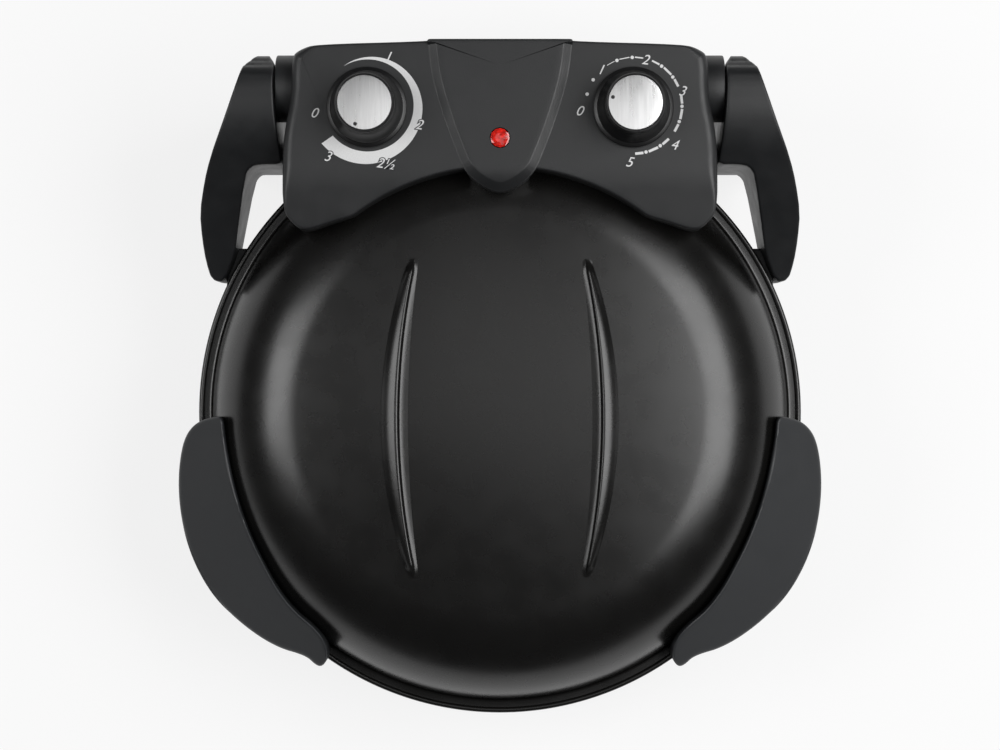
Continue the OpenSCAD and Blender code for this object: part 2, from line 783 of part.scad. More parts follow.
module control_housing() {
    color("#3a3c3f") placed() difference() {
        union() {
            difference() {
                housing_shell();
                cover_cut(0);
            }
            // lugs on the rear wall for the cover's screws
            for (s = [-1, 1]) translate([s * 60 - 5, hinge_y + 2, cover_top_z + 0.2]) cube([10, 19, 6]);
        }
        cover_screw_places() cylinder(r = 1.6, h = 16, $fn = 32);
        for (s = [-1, 1]) {
            on_side(s) translate([100, hinge_y, hinge_z]) rotate([0, 90, 0]) cylinder(r = bush_r, h = 40);
            translate([s * knob_x, knob_y, panel_z - 10]) cylinder(r = bush_screw_r + 0.2, h = 20);
        }
        translate([0, lamp_y, panel_z - 20]) cylinder(r = lamp_hole_r, h = 40);
        translate([0, housing_rear_y - 20, inlet_z]) rotate([-90, 0, 0])
            cylinder(r = inlet_r + 2.2, h = 30);
        translate([0, housing_rear_y - 1.6, inlet_z]) rotate([-90, 0, 0])
            cylinder(r = inlet_r + 4.4, h = 5);
        housing_screw_places() cylinder(r = screw_r, h = 22, $fn = 32);
    }
}

module housing_cover() {
    color("#3a3c3f") placed() difference() {
        intersection() {
            housing_shell();
            cover_cut(0.2);
        }
        cover_screw_places() cylinder(r = 1.7, h = 15, $fn = 32);
    }
}

module housing_screws() {
    color("#9a9ea2") placed() {
        housing_screw_places() screw(20);
        cover_screw_places() {
            cylinder(r = 1.6, h = 15, $fn = 32);
            translate([0, 0, -1.8]) cylinder(r = 3, h = 1.8, $fn = 32);
        }
    }
}

module hinge_bush() {
    translate([108, hinge_y, hinge_z]) rotate([0, 90, 0]) difference() {
        cylinder(r = bush_r, h = stub_end_x - 108);
        translate([0, 0, -1]) cylinder(r = hinge_pin_r + fit_gap, h = 30);
    }
}

module left_hinge_bush() {
    color("#b58b4a") placed() on_side(-1) hinge_bush();
}

module right_hinge_bush() {
    color("#b58b4a") placed() on_side(1) hinge_bush();
}

// Controls

// A control under the panel: a box, its bush through the panel and the bore for the shaft
module control_body(w, d, h) {
    difference() {
        union() {
            translate([-w / 2, -d / 2, panel_under_z - h]) cube([w, d, h]);
            translate([0, 0, panel_under_z - eps]) cylinder(r = bush_screw_r, h = wall_t + 5);
        }
        translate([0, 0, panel_under_z - 12]) cylinder(r = shaft_r + fit_gap, h = 40);
    }
}

module bush_nut() {
    translate([0, 0, panel_z]) difference() {
        cylinder(r = nut_r, h = 3, $fn = 6);
        translate([0, 0, -1]) cylinder(r = bush_screw_r, h = 5);
    }
}

function capillary_z() = parting_z + 28;

module thermostat_body() {
    color("#b9b2a2") placed() translate([-knob_x, knob_y, 0]) control_body(34, 30, 20);
}

module thermostat_nut() {
    color("#b8bcc0") placed() translate([-knob_x, knob_y, 0]) bush_nut();
}

// The sensing bulb in the gap over the reflector, and its capillary up to the thermostat
module sensing_bulb() {
    bulb_a = 119.7;
    bulb_l = 28;
    bulb_r = sqrt(pow(lid_shoulder_r - sheet_t - reflector_gap / 2,
        2) - pow(capillary_z() - shoulder_c[1], 2));
    color("#c08a5a") placed() {
        translate([-knob_x, knob_y, capillary_z()]) {
            cylinder(r = 1, h = panel_under_z - 20 - capillary_z(), $fn = 24);
            sphere(r = 1, $fn = 24);
        }
        translate([-knob_x, 130, capillary_z()]) rotate([-90, 0, 0])
            cylinder(r = 1, h = knob_y - 130, $fn = 24);
        rotate([0, 0, bulb_a]) translate([shoulder_c[0] + bulb_r, 8 - bulb_l, capillary_z()])
            rotate([-90, 0, 0]) cylinder(r = 2.4, h = bulb_l, $fn = 32);
    }
}

module timer_body() {
    color("#c9ccd0") placed() translate([knob_x, knob_y, 0]) control_body(46, 42, 27);
}

module timer_nut() {
    color("#b8bcc0") placed() translate([knob_x, knob_y, 0]) bush_nut();
}

module timer_bell() {
    color("#c8ccd0") placed() translate([knob_x, knob_y + 4, panel_under_z - 27 - 12])
        rotate_extrude(angle = 360)
            difference() {
                intersection() {
                    translate([0, 22]) circle(r = 22, $fn = 96);
                    square([15, 9]);
                }
                translate([0, 22]) circle(r = 21, $fn = 96);
                square([1.5, 4]);
            }
}

module bell_screw() {
    color("#9a9ea2") placed() translate([knob_x, knob_y + 4, panel_under_z - 27 - 12]) {
        cylinder(r = 1.5, h = 12, $fn = 32);
        translate([0, 0, -1.4]) cylinder(r = 3, h = 1.4, $fn = 32);
    }
}

module lamp_lens() {
    color("#c8201c") placed() translate([0, lamp_y, 0]) difference() {
        union() {
            translate([0, 0, panel_z - 9]) cylinder(r = lamp_hole_r - 0.4, h = 9 + shield_h - 1);
            translate([0, 0, panel_z + shield_h - 1 - eps])
                cylinder(r1 = lamp_hole_r - 0.4, r2 = 3.2, h = 1.8);
        }
        translate([0, 0, panel_z - 10]) cylinder(r = 3.6, h = 10);
    }
}

module lamp_holder() {
    color("#e6e2d8") placed() translate([0, lamp_y, panel_z - 25]) {
        cylinder(r = 3.4, h = 23);
        cylinder(r = 6.4, h = 11);
        translate([-2, 0, -4]) cylinder(r = 0.8, h = 5, $fn = 24);
        translate([2, 0, -4]) cylinder(r = 0.8, h = 5, $fn = 24);
    }
}

module lid_terminal_block() {
    color("#e8e4da") placed() difference() {
        translate([-28, 168, upper_ring_z - 6]) cube([56, 12, 12]);
        for (s = [-1, 1])
            translate([s * leg_x, 150, upper_ring_z]) rotate([-90, 0, 0])
                cylinder(r = tube_r, h = 40, $fn = 40);
    }
}

module cord_inlet_bush() {
    color("#1d1e20") placed() translate([0, housing_rear_y, inlet_z]) rotate([90, 0, 0]) difference() {
        union() {
            cylinder(r = inlet_r + 4.2, h = 1.6);
            cylinder(r = inlet_r + 2.1, h = 12);
        }
        translate([0, 0, -1]) cylinder(r = inlet_r, h = 20);
    }
}

// Knobs

// A flared knob with a ring near its neck, hollow over the nut
module knob() {
    translate([0, 0, panel_z + knob_gap]) difference() {
        rotate_extrude() difference() {
            square([knob_r, knob_h]);
            intersection() {
                translate([knob_neck_r + knob_flare_r, knob_flare_z]) circle(r = knob_flare_r, $fn = 120);
                translate([0, 1.5]) square([40, knob_flare_z - 1.5]);
            }
            translate([knob_neck_r + 0.2, knob_flare_z - eps]) square([20, 20]);
            translate([knob_neck_r - 0.5, knob_flare_z + 1.6]) square([20, 0.8]);
            translate([0, knob_h - cap_t]) square([cap_r, 5]);
            translate([0, -1]) square([13, 8]);
        }
        translate([0, 0, -2]) cylinder(r = shaft_r, h = 14);
    }
}

// The metal disc let into a knob's top, with the hole of its dot
module knob_cap(dot_a) {
    translate([0, 0, panel_z + knob_gap + knob_h - cap_t]) difference() {
        cylinder(r = cap_r, h = cap_t);
        rotate([0, 0, 90 - dot_a]) translate([dot_x, 0, -1]) cylinder(r = dot_r, h = 5, $fn = 24);
    }
}

module knob_shaft() {
    translate([0, 0, panel_under_z - 11]) cylinder(r = shaft_r, h = 11 + wall_t + knob_gap + 12);
}

module thermostat_knob() {
    color("#1c1d1f") placed() translate([-knob_x, knob_y, 0]) knob();
}

module thermostat_cap() {
    color("#c9cbcd") placed() translate([-knob_x, knob_y, 0]) knob_cap(thermostat_dot_a);
}

module thermostat_shaft() {
    color("#b8bcc0") placed() translate([-knob_x, knob_y, 0]) knob_shaft();
}

module timer_knob() {
    color("#1c1d1f") placed() translate([knob_x, knob_y, 0]) knob();
}

module timer_cap() {
    color("#c9cbcd") placed() translate([knob_x, knob_y, 0]) knob_cap(timer_dot_a);
}

module timer_shaft() {
    color("#b8bcc0") placed() translate([knob_x, knob_y, 0]) knob_shaft();
}

base_pan();
base_reflector();
reflector_posts();
lower_element();
lower_element_clips();
baking_stone();
left_arm();
right_arm();
arm_screws();
left_hinge_pin();
right_hinge_pin();
left_lower_handle();
right_lower_handle();
lower_handle_screws();
rubber_foot(-1, foot_front);  // front_left_foot
rubber_foot(1, foot_front);  // front_right_foot
rubber_foot(-1, foot_rear);  // rear_left_foot
rubber_foot(1, foot_rear);  // rear_right_foot
base_terminal_block();
terminal_cover();
lid_shell();
lid_reflector();
lid_posts();
upper_element();
upper_element_clips();
left_upper_handle();
right_upper_handle();
upper_handle_screws();
control_housing();
housing_cover();
housing_screws();
left_hinge_bush();
right_hinge_bush();
thermostat_body();
thermostat_nut();
sensing_bulb();
timer_body();
timer_nut();
timer_bell();
bell_screw();
lamp_lens();
lamp_holder();
lid_terminal_block();
cord_inlet_bush();
thermostat_knob();
thermostat_cap();
thermostat_shaft();
timer_knob();
timer_cap();
timer_shaft();
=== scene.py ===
# Electric pizza maker with a hinged lid: the finished surfaces around the packed frame.
# Lengths are metres. Pieces are drawn with the oven's middle at x = y = 0, and finish_piece() moves them.
import json
import math

import bmesh
import bpy
from bpy.props import FloatProperty, FloatVectorProperty, PointerProperty
from mathutils import Matrix, Vector


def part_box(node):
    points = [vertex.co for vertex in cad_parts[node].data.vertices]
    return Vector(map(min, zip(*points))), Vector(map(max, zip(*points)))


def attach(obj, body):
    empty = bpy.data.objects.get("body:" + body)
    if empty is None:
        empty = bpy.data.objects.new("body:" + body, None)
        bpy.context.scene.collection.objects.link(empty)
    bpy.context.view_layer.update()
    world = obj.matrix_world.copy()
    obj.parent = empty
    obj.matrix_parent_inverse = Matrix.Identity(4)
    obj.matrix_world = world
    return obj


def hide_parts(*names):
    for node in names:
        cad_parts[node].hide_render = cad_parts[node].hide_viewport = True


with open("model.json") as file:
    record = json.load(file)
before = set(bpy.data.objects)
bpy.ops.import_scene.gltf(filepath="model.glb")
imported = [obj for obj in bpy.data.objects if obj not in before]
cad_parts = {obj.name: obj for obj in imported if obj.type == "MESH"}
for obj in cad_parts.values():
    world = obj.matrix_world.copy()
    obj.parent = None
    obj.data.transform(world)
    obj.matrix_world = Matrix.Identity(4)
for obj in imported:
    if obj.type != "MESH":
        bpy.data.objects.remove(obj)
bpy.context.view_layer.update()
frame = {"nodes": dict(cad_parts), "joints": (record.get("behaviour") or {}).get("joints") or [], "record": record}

bl_info = {
    "name": "Electric pizza maker",
    "version": (1, 0, 0),
    "blender": (4, 5, 0),
    "location": "3D View > Sidebar > Pizza maker",
    "description": "Builds the finished surfaces of an electric pizza maker with a hinged lid",
    "category": "Add Mesh",
}

# Places read from the frame
PAN_LOW, PAN_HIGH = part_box("base_pan")
OVEN_Y = (PAN_LOW.y + PAN_HIGH.y) / 2
RIM_R = (PAN_HIGH.x - PAN_LOW.x) / 2
PARTING_Z = (PAN_HIGH.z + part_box("lid_shell")[0].z) / 2
PANEL_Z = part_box("thermostat_nut")[0].z
JOINT_PLACE = {j["name"]: Vector(j["pos_m"]) - Vector((0, OVEN_Y, 0)) for j in frame["joints"]}
HINGE = JOINT_PLACE["lid_hinge"]
THERMOSTAT = JOINT_PLACE["thermostat_turn"]
TIMER = JOINT_PLACE["timer_turn"]
LAMP = (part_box("lamp_lens")[0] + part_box("lamp_lens")[1]) / 2 - Vector((0, OVEN_Y, 0))
LAMP_HOLE_R = (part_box("lamp_lens")[1].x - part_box("lamp_lens")[0].x) / 2 + 0.0004
KNOB_LOW, KNOB_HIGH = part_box("thermostat_knob")

# Pressed shells
SHEET_T = 0.0012
BEAD_R = 0.0016
RIM_GAP = 0.0003
CROWN_SLOPE = math.radians(6)
PAN_BOTTOM_Z = PAN_LOW.z
PAN_SHOULDER_R = 0.05


# Settings that a user would change

def metres(name, description, default, low, high):
    return FloatProperty(
        name=name, description=description, default=default, min=low, max=high,
        unit="LENGTH", subtype="DISTANCE")


class PizzaMakerSizes(bpy.types.PropertyGroup):
    lid_rise: metres("Lid rise", "Height of the crown above the parting plane", 0.058, 0.05, 0.07)
    crown_edge_r: metres(
        "Crown radius", "Radius where the crown turns into the shoulder", 0.112, 0.1, 0.12)
    lid_shoulder_r: metres("Lid shoulder", "Radius of the lid's shoulder", 0.06, 0.05, 0.062)
    rib_h: metres("Rib height", "Height of the crescent ribs over the crown", 0.0032, 0.001, 0.005)
    rib_l: metres("Rib length", "Length of a crescent rib", 0.176, 0.15, 0.19)
    shield_h: metres(
        "Shield height", "Height of the raised shield over the panel", 0.003, 0.001, 0.003)
    knob_r: metres("Knob radius", "Radius of a knob's skirt", 0.022, 0.018, 0.022)
    handle_ridge_z: metres(
        "Handle ridge", "Height of the upper handle's ridge above the table", 0.123, 0.11, 0.123)
    handle_fall: FloatProperty(
        name="Handle fall", description="Fall of the upper handle's top for each metre outwards",
        default=0.82, min=0.5, max=0.9)


def colour(name, description, default):
    return FloatVectorProperty(
        name=name, description=description, default=default, min=0, max=1, size=3, subtype="COLOR")


class PizzaMakerColours(bpy.types.PropertyGroup):
    lid_paint: colour("Lid paint", "Satin paint of the lid", (0.0042, 0.004, 0.0037))
    pan_paint: colour("Pan paint", "Satin paint of the base pan", (0.004, 0.004, 0.004))
    housing: colour("Housing", "Moulded plastic of the control housing", (0.012, 0.0126, 0.0134))
    arm: colour("Arms", "Moulded plastic of the rear arms", (0.0062, 0.0068, 0.0076))
    handle: colour("Handles", "Moulded plastic of the handles", (0.018, 0.0195, 0.0215))
    knob: colour("Knobs", "Moulded plastic of the knobs", (0.0042, 0.0042, 0.0045))
    cap: colour("Knob caps", "Brushed metal of the knob caps", (0.8, 0.8, 0.8))
    print_grey: colour("Dial print", "Print on the dials", (0.66, 0.66, 0.66))
    lens: colour("Lamp lens", "Lens of the pilot lamp", (0.6, 0.014, 0.008))
    stone: colour("Stone", "Baking stone", (0.62, 0.5, 0.36))
    steel: colour("Bright metal", "Reflectors and fasteners", (0.66, 0.67, 0.68))


def sizes():
    return bpy.context.scene.pizza_maker_sizes


def colours():
    return bpy.context.scene.pizza_maker_colours


# Nodes

def feed(tree, node, feeds):
    """Links a socket, or sets a value, for each named input."""
    for key, value in feeds.items():
        if isinstance(value, bpy.types.NodeSocket):
            tree.links.new(value, node.inputs[key])
        else:
            node.inputs[key].default_value = value
    return node


def add(tree, kind, feeds=None, **settings):
    """A new node with its settings and inputs."""
    node = tree.nodes.new(kind)
    for key, value in settings.items():
        setattr(node, key, value)
    return feed(tree, node, feeds or {})


# Materials

NOISE_LOW, NOISE_HIGH = 0.3, 0.7


def new_material(name):
    made = bpy.data.materials.new(name)
    made.use_nodes = True
    return made, made.node_tree


def dressed(made, feeds):
    """The material with its shader's inputs set."""
    feed(made.node_tree, made.node_tree.nodes["Principled BSDF"], feeds)
    return made


def noise(tree, scale, detail=3.0, stretch=(1, 1, 1), roughness=0.5):
    """Noise on the piece's own Object coordinates, stretched along an axis for brushed metal."""
    place = add(tree, "ShaderNodeTexCoord").outputs["Object"]
    mapping = add(tree, "ShaderNodeMapping", {"Vector": place, "Scale": stretch})
    return add(tree, "ShaderNodeTexNoise", {
        "Vector": mapping.outputs["Vector"], "Scale": scale, "Detail": detail,
        "Roughness": roughness}).outputs["Fac"]


def spread(tree, value, low, high):
    """A noise value spread between two limits."""
    return add(tree, "ShaderNodeMapRange", {
        "Value": value, "From Min": NOISE_LOW, "From Max": NOISE_HIGH, "To Min": low,
        "To Max": high}).outputs["Result"]


def shade_of(tree, value, base, darker, lighter):
    """The base colour, varied between a darker and a lighter share of it."""
    ramp = add(tree, "ShaderNodeValToRGB", {"Fac": value})
    for stop, place, share in zip(
            ramp.color_ramp.elements, (NOISE_LOW, NOISE_HIGH), (darker, lighter)):
        stop.position = place
        stop.color = [min(1, c * share) for c in base] + [1]
    return ramp.outputs["Color"]


def bump(tree, value, depth, strength=1.0, below=None):
    feeds = {"Distance": depth, "Strength": strength, "Height": value}
    if below is not None:
        feeds["Normal"] = below
    return add(tree, "ShaderNodeBump", feeds).outputs["Normal"]


def satin_paint(name, base, rough=(0.25, 0.3)):
    """Sprayed satin paint: a fine orange peel and slow changes of tone."""
    made, tree = new_material(name)
    return dressed(made, {
        "Base Color": shade_of(tree, noise(tree, 9, 4), base, 0.92, 1.08),
        "Roughness": spread(tree, noise(tree, 60, 5), *rough),
        "Normal": bump(tree, noise(tree, 1500, 2), 0.00003, 0.5),
        "Specular IOR Level": 0.5})


def moulded_plastic(name, base, rough=(0.42, 0.52), grain=1700, depth=0.00006, strength=0.7):
    """Moulded plastic with a spark-eroded grain."""
    made, tree = new_material(name)
    fine = noise(tree, grain, 3, roughness=0.6)
    return dressed(made, {
        "Base Color": shade_of(tree, noise(tree, 14, 3), base, 0.93, 1.07),
        "Roughness": spread(tree, noise(tree, 90, 4), *rough),
        "Normal": bump(tree, fine, depth, strength)})


def brushed_metal(name, base, stretch, rough=(0.24, 0.36), depth=0.00002):
    """Metal with brush lines along the axis that stretch leaves short."""
    made, tree = new_material(name)
    lines = noise(tree, 900, 2, stretch)
    return dressed(made, {
        "Base Color": shade_of(tree, lines, base, 0.93, 1.05),
        "Roughness": spread(tree, lines, *rough),
        "Normal": bump(tree, lines, depth, 0.6), "Metallic": 1.0})


def fired_stone(name, base):
    """Cordierite: pale and grainy, with darker grains and small pits."""
    made, tree = new_material(name)
    pits = bump(tree, noise(tree, 700, 4), 0.0003, 0.6)
    return dressed(made, {
        "Base Color": shade_of(tree, noise(tree, 420, 6, roughness=0.7), base, 0.72, 1.12),
        "Normal": bump(tree, noise(tree, 45, 3), 0.0005, 0.3, pits), "Roughness": 0.9})


def clear_lens(name, base):
    """Red moulded lens: opaque and glossy, with slow changes of tone."""
    made, tree = new_material(name)
    return dressed(made, {
        "Base Color": shade_of(tree, noise(tree, 520, 2), base, 0.45, 1.4),
        "Roughness": 0.12, "Coat Weight": 0.6, "Coat Roughness": 0.05})


def matt_print_and_painted_shadow(name, base):
    """Pad print: matt, with slightly uneven cover."""
    made, tree = new_material(name)
    return dressed(made, {
        "Base Color": shade_of(tree, noise(tree, 2500, 2), base, 0.9, 1.03), "Roughness": 0.55})


def make_materials():
    c = colours()
    return {
        "lid_paint": satin_paint("lid_satin_paint", c.lid_paint),
        "black_paint": satin_paint("pan_satin_paint", c.pan_paint),
        "housing_plastic": moulded_plastic("housing_moulding", c.housing),
        "arm_plastic": moulded_plastic("arm_moulding", c.arm),
        "handle_plastic": moulded_plastic("handle_moulding", c.handle),
        "knob_plastic": moulded_plastic("knob_moulding", c.knob, (0.34, 0.42), 1200, 0.00002, 0.4),
        "cap_metal": brushed_metal("cap_brushed_metal", c.cap, (1, 0.06, 1), (0.27, 0.31), 0.000002),
        "bright_steel": brushed_metal("reflector_sheet", c.steel, (0.1, 1, 1), (0.3, 0.42)),
        "control_metal": brushed_metal("control_zinc_sheet", c.steel, (1, 1, 0.2), (0.35, 0.5)),
        "zinc": brushed_metal("zinc_plated_steel", c.steel, (1, 1, 0.3), (0.28, 0.42)),
        "brass": brushed_metal("turned_brass", (0.72, 0.5, 0.24), (1, 1, 0.1)),
        "element": moulded_plastic("oxidised_element", (0.1, 0.085, 0.075), (0.45, 0.7), 600, 0.00008),
        "stone": fired_stone("fired_stone", c.stone),
        "rubber": moulded_plastic("foot_rubber", (0.014, 0.014, 0.015), (0.7, 0.85), 900),
        "ceramic": moulded_plastic("glazed_ceramic", (0.78, 0.75, 0.68), (0.25, 0.4), 500),
        "lens": clear_lens("lamp_lens_red", c.lens),
        "print": matt_print_and_painted_shadow("dial_print", c.print_grey),
        # Painted shadow: a dark rim under some numerals that stands in for shade round the print
        "painted_numeral_shadow": matt_print_and_painted_shadow("dial_painted_numeral_shadow", (0.02, 0.021, 0.023)),
    }


MATERIALS = {}


def material(key):
    if not MATERIALS:
        MATERIALS.update(make_materials())
    return MATERIALS[key]


# Mesh helpers

SHARP = math.radians(32)
MERGE = 1e-6
LID_GAP = 0.0001


def linked(name, data):
    """A new object in the scene's collection."""
    made = bpy.data.objects.new(name, data)
    bpy.context.scene.collection.objects.link(made)
    return made


def mesh_of(name, bm):
    """A mesh made from a bmesh, which is used up."""
    mesh = bpy.data.meshes.new(name)
    bm.to_mesh(mesh)
    bm.free()
    return mesh


def evaluated_mesh(source):
    """The mesh that an object has after its modifiers."""
    bpy.context.view_layer.update()
    graph = bpy.context.evaluated_depsgraph_get()
    return bpy.data.meshes.new_from_object(source.evaluated_get(graph))


def finish_piece(name, bm, slot, body, replaces=(), look=None, sharp=SHARP):
    """Closes up a mesh, moves it to the frame and lets it ride on its body."""
    bmesh.ops.remove_doubles(bm, verts=bm.verts, dist=MERGE)
    bmesh.ops.dissolve_degenerate(bm, edges=bm.edges, dist=1e-7)
    bmesh.ops.recalc_face_normals(bm, faces=bm.faces)
    bmesh.ops.translate(bm, verts=bm.verts, vec=(0, OVEN_Y, 0))
    mesh = mesh_of(name, bm)
    mesh.materials.append(material(look or slot))
    mesh.shade_smooth()
    mesh.set_sharp_from_angle(angle=sharp)
    piece = linked(name, mesh)
    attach(piece, body)
    if replaces:
        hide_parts(*replaces)
    return piece


def mirrored(half):
    """A closed outline from its right half, which runs from the back middle to the front middle."""
    return half + [(-x, y) for x, y in reversed(half) if x > 1e-6]


def softened(points, rounds):
    """Corner cutting on a closed outline."""
    for _ in range(rounds):
        after = points[1:] + points[:1]
        points = [
            (a[0] * (1 - t) + b[0] * t, a[1] * (1 - t) + b[1] * t)
            for a, b in zip(points, after) for t in (0.25, 0.75)]
    return points


def spaced(points, step):
    """A closed outline with evenly spaced points, anticlockwise."""
    area = sum(a[0] * b[1] - b[0] * a[1] for a, b in zip(points, points[1:] + points[:1]))
    if area < 0:
        points = points[::-1]
    legs = [math.dist(a, b) for a, b in zip(points, points[1:] + points[:1])]
    count = max(12, round(sum(legs) / step))
    step, found, along, i = sum(legs) / count, [], 0.0, 0
    for k in range(count):
        while along + legs[i] < k * step and i < len(legs) - 1:
            along += legs[i]
            i += 1
        t = (k * step - along) / legs[i]
        a, b = points[i], points[(i + 1) % len(points)]
        found.append((a[0] + (b[0] - a[0]) * t, a[1] + (b[1] - a[1]) * t))
    return found


def inward_normals(points):
    found = []
    for before, after in zip(points[-1:] + points[:-1], points[1:] + points[:1]):
        dx, dy = after[0] - before[0], after[1] - before[1]
        length = math.hypot(dx, dy)
        found.append((-dy / length, dx / length))
    return found


def spine_point(p, spine):
    """The nearest point of a two-point spine."""
    (ax, ay), (bx, by) = spine
    dx, dy = bx - ax, by - ay
    t = ((p[0] - ax) * dx + (p[1] - ay) * dy) / (dx * dx + dy * dy)
    t = min(1.0, max(0.0, t))
    return ax + dx * t, ay + dy * t


def fillet(radius, steps=6):
    """Edge rows of a quarter round, as (inset, drop) pairs from the wall inwards."""
    angles = [math.pi / 2 * k / steps for k in range(steps + 1)]
    return [(radius * (1 - math.cos(a)), radius * (1 - math.sin(a))) for a in angles]


def bridge(bm, a, b):
    for i in range(len(a)):
        j = (i + 1) % len(a)
        bm.faces.new((a[i], a[j], b[j], b[i]))


def cap(bm, ring):
    edges = [bm.edges.get((ring[i], ring[(i + 1) % len(ring)])) for i in range(len(ring))]
    bmesh.ops.triangle_fill(bm, edges=edges, use_beauty=True)


SPINE_REACH = 0.97


def pillow(bm, outline, spine, top, bottom, edge, foot=None, rows=16, walls=5):
    """A closed form between two height functions, drawn in from its outline towards a spine.

    edge(p) and foot(p) give the rows of its rounded edges.
    """
    inwards = inward_normals(outline)
    plans = []
    for heights, rounding, side in ((top, edge, -1), (bottom, foot, 1)):
        rings = []
        table = [rounding(p) if rounding else [(0.0, 0.0)] for p in outline]
        for k in range(len(table[0])):
            ring = []
            for p, n, row in zip(outline, inwards, table):
                x, y = p[0] + n[0] * row[k][0], p[1] + n[1] * row[k][0]
                ring.append((x, y, heights(x, y) + side * row[k][1]))
            rings.append(ring)
        last = rings[-1]
        for k in range(1, rows):
            t = SPINE_REACH * k / (rows - 1)
            ring = []
            for x, y, _ in last:
                mx, my = spine_point((x, y), spine)
                qx, qy = x + (mx - x) * t, y + (my - y) * t
                ring.append((qx, qy, heights(qx, qy)))
            rings.append(ring)
        plans.append(rings)
    upper, lower = plans
    between = []
    for k in range(1, walls):
        t = k / walls
        between.append([
            (a[0] + (b[0] - a[0]) * t, a[1] + (b[1] - a[1]) * t, a[2] + (b[2] - a[2]) * t)
            for a, b in zip(upper[0], lower[0])])
    rings = upper[::-1] + between + lower
    made = [[bm.verts.new(p) for p in ring] for ring in rings]
    for a, b in zip(made, made[1:]):
        bridge(bm, a, b)
    cap(bm, made[0])
    cap(bm, made[-1])


def round_bar(bm, start, axis, radius, length, bevel, steps=64):
    """A round bar with rounded end edges."""
    rows = [(0, 0)] + [(radius - o, d) for o, d in reversed(fillet(bevel, 4))]
    rows += [(radius - o, length - d) for o, d in fillet(bevel, 4)] + [(0, length)]
    turn = Vector((0, 0, 1)).rotation_difference(Vector(axis)).to_matrix()
    rings = []
    for r, z in rows:
        if r < 1e-9:
            rings.append([bm.verts.new(Vector(start) + turn @ Vector((0, 0, z)))])
            continue
        angles = [2 * math.pi * k / steps for k in range(steps)]
        rings.append([bm.verts.new(
            Vector(start) + turn @ Vector((r * math.cos(a), r * math.sin(a), z))) for a in angles])
    for a, b in zip(rings, rings[1:]):
        for i in range(steps):
            j = (i + 1) % steps
            corners = [a[i % len(a)], a[j % len(a)], b[j % len(b)], b[i % len(b)]]
            bm.faces.new(list(dict.fromkeys(corners)))


def drill(start, axis, radius, length):
    """A plain round tool for a hole."""
    bm = bmesh.new()
    round_bar(bm, start, axis, radius, length, 0.0001)
    bmesh.ops.recalc_face_normals(bm, faces=bm.faces)
    return bm


def cut(bm, tool):
    """The first mesh less the second; both are used up."""
    made = []
    for name, part in (("body", bm), ("tool", tool)):
        bmesh.ops.recalc_face_normals(part, faces=part.faces)
        made.append(linked(name, mesh_of(name, part)))
    modifier = made[0].modifiers.new("cut", "BOOLEAN")
    modifier.operation = "DIFFERENCE"
    modifier.solver = "EXACT"
    modifier.object = made[1]
    result = evaluated_mesh(made[0])
    found = bmesh.new()
    found.from_mesh(result)
    for piece in made:
        mesh = piece.data
        bpy.data.objects.remove(piece)
        bpy.data.meshes.remove(mesh)
    bpy.data.meshes.remove(result)
    return found


def between_points(value, table):
    """Straight-line value between (place, value) pairs."""
    if value <= table[0][0]:
        return table[0][1]
    for (a, va), (b, vb) in zip(table, table[1:]):
        if value <= b:
            return va + (vb - va) * (value - a) / (b - a)
    return table[-1][1]


def smooth(t):
    """A smooth step from 0 to 1."""
    t = min(1.0, max(0.0, t))
    return t * t * (3 - 2 * t)


# Heights and sections of the pressed shells

WALL_LEAN = math.radians(8)
WALL_FOOT = 0.0006
FLANGE_COVER_Z = 0.0036
FLANGE_COVER_R = 0.0004
NO_FLOOR, NO_CEILING = -1.0, 1.0
FLANGE_SET = 0.00025
BEAD_ARC = (185, -122)
FOOT_CORNER, FOOT_END = 0.0004, 0.0022
PAN_FLAT_R = 0.05


def lid_curves():
    """Crown radius, crown centre's height, and the shoulder's centre."""
    s = sizes()
    crown_r = s.crown_edge_r / math.sin(CROWN_SLOPE)
    crown_z = PARTING_Z + s.lid_rise - crown_r
    reach = crown_r - s.lid_shoulder_r
    centre = Vector((reach * math.sin(CROWN_SLOPE), crown_z + reach * math.cos(CROWN_SLOPE)))
    return crown_r, crown_z, centre


def lid_height(x, y):
    """Height of the lid's outer surface, or just over its flange outside the wall."""
    crown_r, crown_z, shoulder = lid_curves()
    r = math.hypot(x, y)
    if r < sizes().crown_edge_r:
        return crown_z + math.sqrt(crown_r ** 2 - r ** 2)
    reach = r - shoulder.x
    if reach < sizes().lid_shoulder_r - WALL_FOOT:
        return shoulder.y + math.sqrt(sizes().lid_shoulder_r ** 2 - reach ** 2)
    return PARTING_Z + FLANGE_COVER_Z if r < RIM_R + FLANGE_COVER_R else NO_FLOOR


def wall_r():
    """Radius of the lid's and the pan's wall near the rim."""
    return lid_curves()[2].x + sizes().lid_shoulder_r * math.cos(WALL_LEAN)


def pan_height(x, y):
    """Height of the pan's outer surface above a place, seen from below."""
    reach = math.hypot(x, y) - (wall_r() - PAN_SHOULDER_R)
    if reach <= 0:
        return PAN_BOTTOM_Z
    if reach < PAN_SHOULDER_R:
        return PAN_BOTTOM_Z + PAN_SHOULDER_R - math.sqrt(PAN_SHOULDER_R ** 2 - reach ** 2)
    return NO_CEILING


def arc(centre, radius, a0, a1, steps):
    """Points of an arc in a profile, from angle a0 to a1 in degrees."""
    angles = [math.radians(a0 + (a1 - a0) * k / steps) for k in range(steps + 1)]
    return [(centre[0] + radius * math.cos(a), centre[1] + radius * math.sin(a)) for a in angles]


def eased(a, corner, b, steps=5):
    """A rounded corner between two profile points."""
    return [
        tuple(a[i] * (1 - t) ** 2 + 2 * corner[i] * t * (1 - t) + b[i] * t * t for i in (0, 1))
        for t in (k / steps for k in range(steps + 1))]


